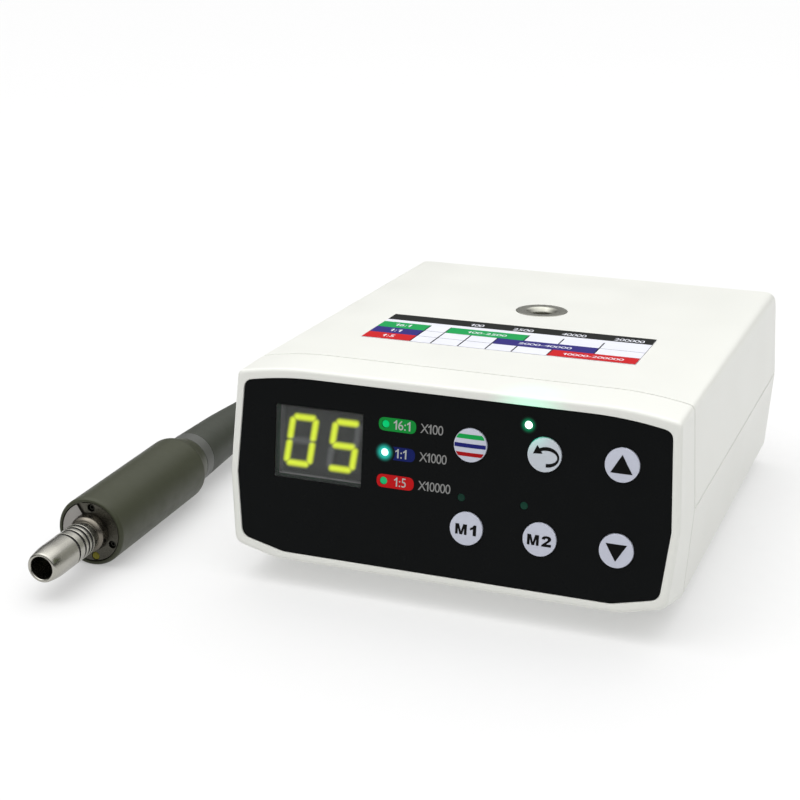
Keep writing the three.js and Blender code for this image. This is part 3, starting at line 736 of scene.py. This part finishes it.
def add_covers():
    socket = centre("top_socket", ROOF)
    low, high = extent("speed_chart_label", CHART)
    back = UNIT.inverted()
    at = back @ ROOF @ shift(socket.x, socket.y, 0)
    cutters = [
        recess(at, [(0, -1.2), (8.95, -1.2), (8.95, 2), (0, 2)]),
        recess(at, [(0, -9), (6.8, -9), (6.8, 1), (0, 1)]),
        placed(plate([around(low, high, 0.15, 0.6)], -0.4, 2), back @ CHART),
    ]
    piece("cover_top", [cover(True)], UNIT, white_abs, "upper_cover",
          cutters=cutters)
    wells = []
    for number in range(1, 5):
        screw = centre(f"case_screw_{number}", UNIT)
        profile = [(0, 1), (3.1, 1), (3.1, 7.8), (0, 7.8)]
        wells.append(recess(shift(screw.x, screw.y, 0), profile))
    piece("cover_bottom", [cover(False)], UNIT, white_abs, "lower_cover",
          cutters=wells)


def add_feet_and_screws():
    pad = [(0, 0.25), (3.2, 0.25, 0.2), (3.5, 0, 0.1), (6, 0, 0.8), (6, 2.25, 0.2), (0, 2.25)]
    shank = [(0, 6.5), (2.7, 6.5), (2.7, 7.6, 0.2), (1.5, 7.6), (1.5, 20), (0, 20)]
    for number in range(1, 5):
        foot, screw = f"foot_{number}", f"case_screw_{number}"
        turned(f"foot_pad_{number}", pad, 64, over(foot, UNIT) @ UPEND, black_rubber,
               "rubber_foot", foot)
        head = plate([circle(2.7), cross_outline(1.7, 0.36)], 5.6, 6.6, 0.12)
        shapes = [head, placed(lathe(shank, 48), UPEND)]
        piece(f"screw_{number}", shapes, over(screw, UNIT), zinc, screw)


def cross_outline(reach, half):
    """A cross recess, from its right arm round."""
    arm = [(reach, -half), (reach, half), (half, half)]
    quarters = [(1, 0), (0, 1), (-1, 0), (0, -1)]
    return [(x * c - y * s, x * s + y * c) for c, s in quarters for x, y in arm]


# ---------------- front panel

KEYS = {
    "ratio_button": "stripes",
    "reverse_button": "reverse",
    "up_button": "up",
    "memory_1_button": "1",
    "memory_2_button": "2",
    "down_button": "down",
}
LEDS = {  # each lamp's colour and strength
    "led_ratio_16_1": ((0.0, 0.42, 0.12), 0.9),
    "led_ratio_1_1": ((0.45, 1.0, 0.93), 2.2),
    "led_ratio_1_5": ((0.01, 0.34, 0.12), 0.8),
    "led_reverse": ((0.75, 1.0, 0.88), 2.4),
    "led_memory_1": ((0.004, 0.020, 0.013), 1.0),
    "led_memory_2": ((0.004, 0.026, 0.016), 1.0),
}
# Painted glow round the two bright lamps: how far it reaches, and its colour.
HALOS = {"led_ratio_1_1": (3.3, (0.03, 0.80, 0.64)), "led_reverse": (2.8, (0.0, 0.38, 0.15))}
KEY_RADIUS = 5.07
LED_RADIUS = 1.15
PANEL_TOP = -PANEL_SINK  # height of the panel's surface in the FACE frame
PRINT = 0.03  # thickness of a print on the panel
PRINT_LOW = PANEL_TOP + 0.01
LED_HOLE = LED_RADIUS + 0.06


def add_panel():
    low, high = extent("display_window", FACE)
    holes = [around(low, high, GAP, 0.5)]
    holes += [circle(KEY_RADIUS + 0.22, *centre(node, FACE).xy) for node in KEYS]
    holes += [circle(LED_HOLE, *centre(node, FACE).xy, 32) for node in LEDS]
    sheet = plate([face_outline(RIM, PANEL_SECTION), *holes], -PANEL_BACK, PANEL_TOP, 0.08)
    piece("panel", [sheet], FACE, black_panel, "front_overlay")


def add_prints():
    """The coloured ratio pills and the speed ranges beside them."""
    rows = [("16:1", 5.75, "X100", 6.9), ("1:1", 4.0, "X1000", 8.4), ("1:5", 4.0, "X10000", 10.0)]
    low, high = PRINT_LOW, PRINT_LOW + PRINT
    shapes = []
    for row, (node, (ratio, wide, speed, wider)) in enumerate(zip(LEDS, rows)):
        led = centre(node, FACE)
        hole = circle(LED_HOLE, led.x, led.y, 32)
        pill = box_outline(led.x - 2.2, led.x + 9.75, led.y - 2.05, led.y + 2.05, 2.0, 10)
        shapes += [
            plate([pill, hole], low, high, index=row),
            lettering(ratio, led.x + 5.35, led.y + 0.1, wide, 2.85, high, high + PRINT, index=3),
            lettering(speed, led.x + 11.4, led.y + 0.07, wider, 2.87, low, high, 0, 4),
        ]
    piece("panel_prints", shapes, FACE, [*pills, print_white, print_grey])


def key_cap():
    stem = [(0, -4.9), (1.8, -4.9), (1.8, -4.6), (6.0, -4.6), (6.0, -3.7), (KEY_RADIUS, -3.7)]
    return lathe([*stem, *KEY_CROWN], 80, steps=6)


def spread(first, last, count):
    return [math.radians(first + (last - first) * k / (count - 1)) for k in range(count)]


def arc(wide, tall, first, last, count=26, x=0.0, y=0.0):
    """Points along an ellipse between two angles in degrees."""
    return [(x + wide * math.cos(a), tall * math.sin(a) + y) for a in spread(first, last, count)]


def arrow_outline():
    """A curved arrow that turns back to the left, in millimetres from the key's middle."""
    head = [(-2.20, 2.85), (-3.37, 0.18), (-0.46, 0.47)]
    middle = {"x": 0.8, "y": -0.48}
    return arc(3.74, 3.03, -92, 127, **middle) + head + arc(3.15, 1.95, 123, -92, **middle)


def capital_m(left, right, low=-1.78, high=1.42):
    """A capital M, drawn from its left foot up and round."""
    middle, stem, notch = (left + right) / 2, 0.82, high - 1.25
    outside = [(left, low), (left, high), (left + 1.15, high), (middle, low + 0.95),
               (right - 1.15, high), (right, high), (right, low)]
    inside = [(right - stem, low), (right - stem, notch), (middle + 0.42, low),
              (middle - 0.42, low), (left + stem, notch), (left + stem, low)]
    return outside + inside


FIGURE_ONE = [
    (2.28, -1.8), (3.3, -1.8), (3.3, 1.5), (2.5, 1.5), (2.05, 0.85), (1.4, 0.55), (1.4, -0.15),
    (2.28, 0.25),
]
FIGURE_TWO = [
    (0.72, -1.8), (3.7, -1.8), (3.7, -1.0), (2.2, -1.0), (3.0, -0.35), (3.55, 0.15), (3.65, 0.6),
    (3.45, 1.1), (2.95, 1.4), (2.2, 1.48), (1.45, 1.35), (0.95, 0.95), (0.85, 0.45), (1.75, 0.35),
    (1.85, 0.65), (2.2, 0.8), (2.6, 0.7), (2.7, 0.4), (2.5, 0.05), (1.5, -0.75), (0.95, -1.25),
]
KEY_PRINTS = {
    "up": [[(-3.24, -2.4), (3.24, -2.4), (0, 3.14)]],
    "down": [[(0, -3.1), (3.15, 2.12), (-3.15, 2.12)]],
    "reverse": [arrow_outline()],
    "1": [capital_m(-3.25, 0.38), FIGURE_ONE],
    "2": [capital_m(-3.6, 0.0), FIGURE_TWO],
}
KEY_STRIPES = [(2.65, 1.32), (-0.05, 1.2), (-2.72, 1.16)]  # each one's height and thickness
KEY_CROWN = [(KEY_RADIUS, 0.22, 0.45), (KEY_RADIUS * 0.6, 0.46, 2.0), (0, 0.5)]


def dome(x, y):
    """Height of a key's crowned face."""
    line = filleted([(KEY_RADIUS, -1, 0), *KEY_CROWN[:2], (0, 0.5, 0)], 6, closed=False)
    away = math.hypot(x, y)
    for (r0, z0), (r1, z1) in zip(line, line[1:]):
        if r1 <= away < r0:
            return z0 + (z1 - z0) * (r0 - away) / (r0 - r1)
    return line[-1][1]


def on_dome(shape):
    """Lifts a flat print, drawn about z = 0, on to the crowned face of a key."""
    points, faces, index = shape
    return [(x, y, z + dome(x, y) + 0.015) for x, y, z in points], faces, index


def refined(shape, longest):
    """The shape cut into triangles with no edge much longer than this, so that it can bend."""
    work = merged([shape])
    while True:
        bmesh.ops.triangulate(work, faces=work.faces[:])
        too_long = [edge for edge in work.edges if edge.calc_length() > longest]
        if not too_long:
            break
        bmesh.ops.subdivide_edges(work, edges=too_long, cuts=1)
    work.verts.index_update()
    points = [tuple(vertex.co) for vertex in work.verts]
    faces = [tuple(vertex.index for vertex in face.verts) for face in work.faces]
    work.free()
    return points, faces, shape[2]


def band(low, high, index):
    """A stripe across a key, as a strip that follows its round edge and its crown."""
    loops = []
    for y in [low + (high - low) * k / 4 for k in range(5)]:
        half = math.sqrt((KEY_RADIUS - 0.2) ** 2 - y**2)
        columns = [half * math.sin(math.pi / 2 * (k / 16 - 1)) for k in range(33)]
        loops.append([(x, y, PRINT) for x in columns] + [(x, y, 0) for x in columns[::-1]])
    return on_dome(loft(loops, index=index))


def key_print(kind):
    if kind == "stripes":
        return [band(up - thick / 2, up + thick / 2, i)
                for i, (up, thick) in enumerate(KEY_STRIPES, 1)]
    flat = [plate([outline], 0, PRINT, index=1) for outline in KEY_PRINTS[kind]]
    return [on_dome(refined(shape, 0.8)) for shape in flat]


def add_keys():
    for node, kind in KEYS.items():
        shapes = [placed(key_cap(), UPEND), *key_print(kind)]
        prints = stripes if kind == "stripes" else [print_black]
        looks = [key_lit if kind == "reverse" else key_white, *prints]
        body = node.replace("_button", "_key")
        piece(node.replace("_button", "_cap"), shapes, over(node, FACE), looks, node,
              body)


def add_leds():
    pipe = [(0, -6.7), (1.65, -6.7), (1.65, -4.2), (LED_RADIUS, -4.2), (LED_RADIUS, -0.42, 0.3),
            (0, -0.30)]
    for node, (color, strength) in LEDS.items():
        plain = ink(node, [min(0.5, c * 0.5 + 0.002) for c in color], 0.3)
        piece(node.replace("led", "lamp"), [placed(lathe(pipe, 32), UPEND)], over(node, FACE),
              glowing(plain, color, strength), node)
    for node, (reach, color) in HALOS.items():
        add_halo(node, reach, color)


def add_halo(node, reach, color):
    """A thin sheet on the panel round a bright lamp, with the lamp's glow painted on it, fading
    outwards.
    """
    at = centre(node, FACE)
    radii = [LED_RADIUS + 0.08 + (reach - LED_RADIUS) * k / 8 for k in range(9)]
    low = PRINT_LOW + PRINT
    loops = []
    for radius, height in [(r, low + 0.02) for r in radii] + [(r, low) for r in reversed(radii)]:
        loops.append([(x, y, height) for x, y in circle(radius, at.x, at.y)])
    halo = piece(node.replace("led", "halo"), [loft(loops, wrap=True)], FACE, black_panel)
    material = ink(node + "_halo", PANEL_BLACK, 0.3)
    halo.data.materials[0] = lit_from(material, FACE @ Vector((at.x, at.y, low)), reach, color)


# ---------------- display

DIGIT_HEIGHT = 16.55
DIGIT_WIDTH = 9.53
SEGMENT = 1.87
SLANT = math.tan(math.radians(7.8))
SOFT = 0.75  # half the width of a segment's soft edge
SEGMENTS = {"0": "abcdef", "5": "acdfg"}
DIGITS = [("0", -6.6), ("5", 7.55)]  # each one's distance from the window's middle
DIGIT_RISE = 0.3
CELL = 0.2  # spacing of the display face's points


def segment_lines():
    """The middle line of each segment, in an upright digit centred on 0, 0."""
    x, y, short = (DIGIT_WIDTH - SEGMENT) / 2, (DIGIT_HEIGHT - SEGMENT) / 2, 1.15
    return {
        "a": ((-x + short, y), (x - short, y)),
        "b": ((x, y - short), (x, short)),
        "c": ((x, -short), (x, -y + short)),
        "d": ((-x + short, -y), (x - short, -y)),
        "e": ((-x, -short), (-x, -y + short)),
        "f": ((-x, y - short), (-x, short)),
        "g": ((-x + short, 0), (x - short, 0)),
    }


def off_line(x, y, line):
    (x0, y0), (x1, y1) = line
    dx, dy = x1 - x0, y1 - y0
    t = min(1, max(0, ((x - x0) * dx + (y - y0) * dy) / (dx * dx + dy * dy)))
    return math.hypot(x - x0 - t * dx, y - y0 - t * dy)


def brightness(x, y, digits, left, bottom):
    """The share of lit segment, unlit segment and painted edge highlight at a point of the
    display's face.
    """
    lit = unlit = 0.0
    # edge is a painted highlight along the face's left and bottom borders, where the window's
    # recess catches light.
    edge = max(0, 0.45 * (1 - (x - left) / 2.2), 1 - (y - bottom) / 0.9) ** 1.5
    for text, middle_x, middle_y in digits:
        up = y - middle_y
        across = x - middle_x - up * SLANT
        if abs(across) > DIGIT_WIDTH:
            continue
        for name, line in segment_lines().items():
            away = off_line(across, up, line)
            share = min(1, max(0, (SEGMENT / 2 + SOFT - away) / (2 * SOFT)))
            share = share * share * (3 - 2 * share)
            if name in SEGMENTS[text]:
                lit = max(lit, share)
            else:
                unlit = max(unlit, share)
    return lit, unlit, edge


def display_look():
    """Grey film over the digits: the lit segments glow, the unlit ones are a little paler,
    and a painted highlight lightens the film along its left and bottom borders.
    """
    film = (0.012, 0.015, 0.0135)
    material = look("display_face", film, 0.6, mottle=(2, 0.12), grain=(0.3, 0.01))
    tree = material.node_tree
    shader = tree.nodes["Principled BSDF"]
    base = shader.inputs["Base Color"].links[0].from_socket
    for name, color, target in (
        ("unlit", (0.10, 0.105, 0.11), "Base Color"),
        # edge: a painted highlight on the film's left and bottom borders.
        ("edge", (0.30, 0.32, 0.30), "Base Color"),
        ("lit", (0.85, 1.02, 0.010), "Emission Color"),
    ):
        share = shader_node(tree, "Attribute", {}, attribute_name=name).outputs["Fac"]
        mix = mixed(tree, share, (0, 0, 0), color)
        if target == "Base Color":
            tree.links.new(base, mix.inputs["A"])
            base = mix.outputs["Result"]
        tree.links.new(mix.outputs["Result"], shader.inputs[target])
    shader.inputs["Emission Strength"].default_value = 1.0
    return material


def add_display():
    low, high = extent("display_module", FACE)
    middle = (low + high) / 2
    digits = [(text, middle.x + off, middle.y + DIGIT_RISE) for text, off in DIGITS]
    columns = round((high.x - low.x) / CELL)
    rows = round((high.y - low.y) / CELL)
    loops = []
    for j in range(rows + 1):
        y = low.y + (high.y - low.y) * j / rows
        line = [(low.x + (high.x - low.x) * i / columns, y) for i in range(columns + 1)]
        loops.append([(x, y, high.z) for x, y in line] + [(x, y, low.z) for x, y in line[::-1]])
    item = piece("display_digits", [loft(loops)], FACE, display_look(),
                 "display_module")
    back = FACE.inverted()
    corner = (low.x, low.y)
    values = [brightness(*(back @ v.co).xy, digits, *corner) for v in item.data.vertices]
    for k, name in enumerate(("lit", "unlit", "edge")):
        attribute = item.data.attributes.new(name, "FLOAT", "POINT")
        attribute.data.foreach_set("value", [value[k] for value in values])
    low, high = extent("display_window", FACE)
    smoked = look("smoked_pane", (0.16, 0.165, 0.165), 0.28, mottle=(6, 0.1), grain=(0.25, 0.006),
                  Alpha=0.12)
    pane = plate([around(low, high, 0.25, 0.4)], high.z - 1.2, high.z, 0.35)
    piece("display_pane", [pane], FACE, smoked, "display_window")


# ---------------- top

CHART_COLUMNS = [-45.05, -28.5, -21.4, -12.3, -3.15, 5.4, 16.95, 30.3, 45.05]
CHART_ROWS = [-16.0, -8.85, -1.7, 5.45]
HEADER_ROW = (8.6, 16.0)
CHART_LINE = 0.45


def add_chart():
    """The printed table of speeds: one row for each ratio, with its range as a coloured bar."""
    low, high = extent("speed_chart_label", CHART)
    ink, text = high.z + 0.02, high.z + 0.04
    shapes = [plate([around(low, high, 0, 0.5)], low.z, high.z, 0.05)]

    def cell(x0, x1, y0, y1, index):
        shapes.append(plate([box_outline(x0, x1, y0, y1)], high.z, ink, index=index))

    def rule(x, y0, y1):
        cell(x - CHART_LINE / 2, x + CHART_LINE / 2, y0, y1, 5)

    def words(value, x, y, width, height):
        shapes.append(lettering(value, x, y, width, height, ink, text, index=0))

    cell(low.x, high.x, *HEADER_ROW, 4)
    bars = [(6, 8, 3, "1:5", "10000-200000", 19.5), (4, 7, 2, "1:1", "2000-40000", 17.5)]
    bars.append((2, 5, 1, "16:1", "100-2500", 13.5))
    for row, (first, last, index, ratio, speeds, width) in enumerate(bars):
        y0, y1 = CHART_ROWS[row], CHART_ROWS[row + 1]
        middle = (y0 + y1) / 2
        x0, x1 = CHART_COLUMNS[first], CHART_COLUMNS[last]
        cell(CHART_COLUMNS[0], CHART_COLUMNS[1], y0, y1, index)
        cell(x0, x1, y0, y1, index)
        words(ratio, -37.1, middle + 0.3, 1.45 * len(ratio), 2.9)
        words(speeds, (x0 + x1) / 2, middle, width, 2.3)
        for k, x in enumerate(CHART_COLUMNS[1:-1], 1):
            if not first < k < last:
                rule(x, y0, y1)
    for y in CHART_ROWS[1:3]:
        for x0, x1 in zip(CHART_COLUMNS[1:], CHART_COLUMNS[2:]):
            line = box_outline(x0, x1, y - 0.12, y + 0.12)
            shapes.append(plate([line], high.z, ink - 0.01, index=6))
    for value, x, width in (("100", -14.3, 4.7), ("2500", 1.6, 6.9), ("40000", 18.8, 8.2),
                            ("200000", 37.2, 9.9)):
        words(value, x, 11.3, width, 3.0)
    looks = [paper, *papers, print_black, grey_line]
    piece("speed_chart", shapes, CHART, looks, "speed_chart_label")


def add_top_socket():
    top = extent("top_socket", ROOF)[1].z
    profile = [
        (0, top - 14), (3.4, top - 13.6, 0.6), (4.15, top - 12.6, 0.3), (4.15, top - 1.5, 0.3),
        (5.0, top - 0.35, 0.35), (5.5, top, 0.3), (8.75, top, 0.25), (8.75, top - 1.0),
        (6.5, top - 1.0), (6.5, top - 16), (0, top - 16),
    ]
    turned("socket_ring", profile, 96, over("top_socket", ROOF) @ UPEND, socket_steel,
           "brushed_steel", "top_socket")


# ---------------- rear

FLANGES = {"hose_port": 10.0, "air_inlet": 8.0, "power_inlet": 6.5}
VENTS, VENT_PITCH = 9, 6


def through_panel(neck, node):
    """The part of a connector's profile that passes through the rear panel."""
    flange, inside, seat = FLANGES[node], 134.5, 138.3
    return [(neck, inside), (flange + 1.5, inside), (flange + 1.5, seat), (flange, seat)]


def connector(name, node, profile, segments, material, slot, **more):
    turned(name, profile, segments, along(node, UNIT), material, slot, node, **more)


def add_rear():
    low, high = extent("rear_panel", UNIT)
    holes = []
    for node, flange in FLANGES.items():
        at = centre(node, UNIT)
        holes.append(circle(flange + 0.2, at.x, at.z))
    for i in range(VENTS):
        x = VENT_PITCH * (i - (VENTS - 1) / 2)
        holes.append(box_outline(x - 1.1, x + 1.1, 42, 58, 1.05))
    sheet = plate([case_outline(REAR_SECTION, WALL + 0.12), *holes], low.y, high.y, 0.2)
    piece("back_panel", [sheet], BACK, white_abs, "rear_panel")
    add_port()
    add_nut()
    add_boot()
    add_air_inlet()
    add_power_inlet()


def add_port():
    profile = [(0, 126), (7, 126), *through_panel(7, "hose_port")]
    profile += [(FLANGES["hose_port"], 143.6, 0.4), (0, 143.6)]
    connector("port_flange", "hose_port", profile, 96, turned_steel, "brushed_steel")


def add_nut():
    profile = [
        (0, 144.5), (8.4, 144.5, 0.3), (8.4, 145.4), (9.4, 145.9, 0.2), (9.4, 153.6, 0.2),
        (8.8, 154.2), (8.2, 156, 0.6), (0, 156),
    ]
    nut = lathe(profile, 240, flutes=40, depth=0.5)
    piece("union_nut", [nut], along("hose_nut", UNIT), turned_steel, "hose_nut",
          crisp=50)


def add_boot():
    """The bend relief: a tapered sleeve with ring grooves, wide at the nut."""
    first, last, wide, narrow = 156.3, 178.0, 7.6, 5.4
    profile = [(0, first), (wide, first, 0.5)]
    for k in range(6):
        station = first + 4.0 + 2.6 * k
        radius = wide + (narrow - wide) * (station - first) / (last - first)
        profile += [(radius, station, 0.15), (radius - 0.8, station + 0.25, 0.2)]
        profile += [(radius - 0.85, station + 1.05, 0.2), (radius - 0.1, station + 1.3, 0.15)]
    profile += [(narrow, last, 0.4), (0, last)]
    connector("bend_relief", "hose_boot", profile, 72, sleeve_rubber, "grey_rubber")


def add_air_inlet():
    node = "air_inlet"
    profile = [
        (1.6, 128), (5, 128), *through_panel(5, node), (FLANGES[node], 144, 0.3), (4, 144),
        (4, 147), (4.7, 147.6, 0.1), (4.0, 150.4), (4.7, 151.0, 0.1), (4.0, 153.8),
        (4.5, 154.3, 0.1), (3.2, 157, 0.3), (1.6, 157, 0.2),
    ]
    connector("air_barb", node, profile, 64, brass_metal, "brass", wrap=True)


def add_power_inlet():
    node = "power_inlet"
    profile = [
        (0, 128), (4.5, 128), *through_panel(4.5, node), (FLANGES[node], 143, 0.4),
        (3.2, 143, 0.15), (3.2, 133), (1, 133), (1, 142, 0.3), (0, 142.4),
    ]
    connector("power_jack", node, profile, 64, black_plastic, "black_plastic")


# ---------------- motor handpiece

NOSE_TIP = -61.8
PLATE = -31.5
BODY_END = 28.5
TAPER_END = 36.0
COLLAR_END = 41.5
COLLAR_RADIUS = 9.0
SLEEVE_END = 95.0
GROOVES = [-47.45, -43.95, -41.65, -39.55]


def add_motor():
    housing = [
        (10.05, PLATE + 1.2), (10.15, PLATE - 0.25, 0.2), (10.9, PLATE - 0.3, 0.25),
        (11.5, PLATE + 0.5, 0.5), (11.5, BODY_END, 0.7), (11.2, BODY_END + 0.6, 0.4),
        (COLLAR_RADIUS - 0.05, TAPER_END, 0.25), (5, TAPER_END), (5, 29.5), (9.6, 23.5),
        (9.6, PLATE + 6), (10.05, PLATE + 5),
    ]
    turned("motor_shell", housing, 144, MOTOR, olive, "olive_satin_metal", "motor_housing",
           wrap=True, steps=8)
    collar = [(0, TAPER_END + 0.1), (COLLAR_RADIUS, TAPER_END + 0.1, 0.2),
              (COLLAR_RADIUS, COLLAR_END, 0.2), (0, COLLAR_END)]
    turned("collar", collar, 96, MOTOR, collar_grey, "grey_ring", "collar_ring")
    sleeve = [
        (0, COLLAR_END + 0.1), (COLLAR_RADIUS - 0.05, COLLAR_END + 0.1, 0.3), (8.15, 68, 8),
        (6.4, SLEEVE_END, 0.9), (0, SLEEVE_END),
    ]
    turned("sleeve", sleeve, 96, MOTOR, sleeve_rubber, "grey_rubber", "hose_sleeve")


def add_nose():
    profile = [
        (3.65, NOSE_TIP + 0.35, 0.3), (4.05, NOSE_TIP, 0.2), (4.75, NOSE_TIP + 0.25, 0.5),
        (5.5, NOSE_TIP + 4.3, 2.6),
    ]
    for station in GROOVES:
        profile += [(5.5, station - 0.5, 0.12), (4.75, station - 0.45)]
        profile += [(4.75, station + 0.45), (5.5, station + 0.5, 0.12)]
    profile += [
        (5.5, -38.4, 0.2), (5.0, -38.0, 0.2), (5.0, -35.0), (5.0, -28.4), (8.6, -28.4),
        (8.6, -25.6), (4.3, -25.6), (4.3, -29.8), (3.3, -29.8), (3.3, -36), (3.65, -36.4),
    ]
    root = [(4.95, -35.2), (5.2, -35.2, 0.3), (6.0, -34.4, 0.5), (6.3, PLATE - 0.8, 0.4),
            (6.3, PLATE - 0.15), (4.95, PLATE - 0.15)]
    shapes = [lathe(profile, 112, wrap=True), lathe(root, 96, wrap=True, index=1)]
    piece("nose", shapes, MOTOR, [bright_steel, brown_steel], "coupling_nose")
    for number, station in enumerate(GROOVES, 1):
        ring = [(4.8, station - 0.3, 0.15), (5.3, station - 0.3, 0.28), (5.3, station + 0.3, 0.28),
                (4.8, station + 0.3, 0.15)]
        turned(f"seal_{number}", ring, 72, MOTOR, black_rubber, "black_rubber",
               f"o_ring_{number}", wrap=True)


def add_face_plate():
    """The motor's front plate: a pale raised segment on its left, and a groove beside it."""
    holes = []
    for node, radius in (("face_screw_1", 1.3), ("face_screw_2", 1.3), ("light_window", 1.4)):
        at = centre(node, MOTOR)
        holes.append(circle(radius, at.x, at.z, 32))
    base = plate([circle(9.95, 0, 0, 128), circle(5.35, 0, 0), *holes], PLATE + 0.7, PLATE + 2.6,
                 index=1)
    segment = arc(9.85, 9.85, 116, 226, 40) + arc(5.5, 5.5, 226, 112, 40)
    pale = plate([segment], PLATE - 0.1, PLATE + 0.7, 0.08)
    rest = arc(9.85, 9.85, -132, 106, 90) + arc(5.45, 5.45, 99, -132, 60)
    shapes = [base, pale, plate([rest, *holes], PLATE + 0.05, PLATE + 0.7, 0.08, index=1)]
    piece("front_plate", shapes, MOTOR_FACE, [plate_steel, dark_steel],
          "face_plate")
    head = [(0, PLATE + 1.5), (0.5, PLATE + 1.5), (0.5, PLATE + 0.75, 0.05),
            (1.0, PLATE + 0.75, 0.15), (1.0, PLATE + 2.6), (0, PLATE + 2.6)]
    for number in (1, 2):
        node = f"face_screw_{number}"
        turned(f"plate_screw_{number}", head, 32, along(node, MOTOR), black_screw,
               "steel_fastener", node)
    lens = [(0, PLATE), (1.3, PLATE + 0.2, 0.25), (1.3, PLATE + 2.6), (0, PLATE + 2.6)]
    turned("light_lens", lens, 40, along("light_window", MOTOR), phosphor, "yellow_lens",
           "light_window")


# ---------------- pieces kept from the frame

INSIDE = {
    "key_board": solder_mask,
    "main_board": solder_mask,
    "air_valve": brass_metal,
    "pressure_sensor": black_plastic,
    "socket_nut": zinc,
    "stator": copper,
    "rotor_magnet": magnet_metal,
    "rotor_shaft": bright_steel,
    "front_bearing": bright_steel,
    "rear_bearing": bright_steel,
    "rear_bearing_holder": turned_steel,
}


def paint_inside():
    for node, material in INSIDE.items():
        mesh = frame["nodes"][node].data
        mesh.materials.clear()
        mesh.materials.append(material)


def add_floor():
    corners = [(x, y, 0) for x, y in box_outline(-4.0, 4.0, -4.0, 4.0)]
    mesh = bpy.data.meshes.new("floor")
    mesh.from_pydata(corners, [], [(0, 1, 2, 3)])
    pale = look("pale_floor", (0.46, 0.46, 0.46), 0.7, mottle=(300, 0.01), grain=(2, 0.01))
    mesh.materials.append(glowing(pale, (1, 1, 1), 0.36))  # a lit table
    put("floor", mesh)


# ---------------- the whole scene

for build in (
    add_camera, add_hose, add_studio, add_bezel, add_covers, add_feet_and_screws, add_panel,
    add_prints, add_keys, add_leds, add_display, add_chart, add_top_socket, add_rear, add_motor,
    add_nose, add_face_plate, paint_inside, add_floor,
):
    build()
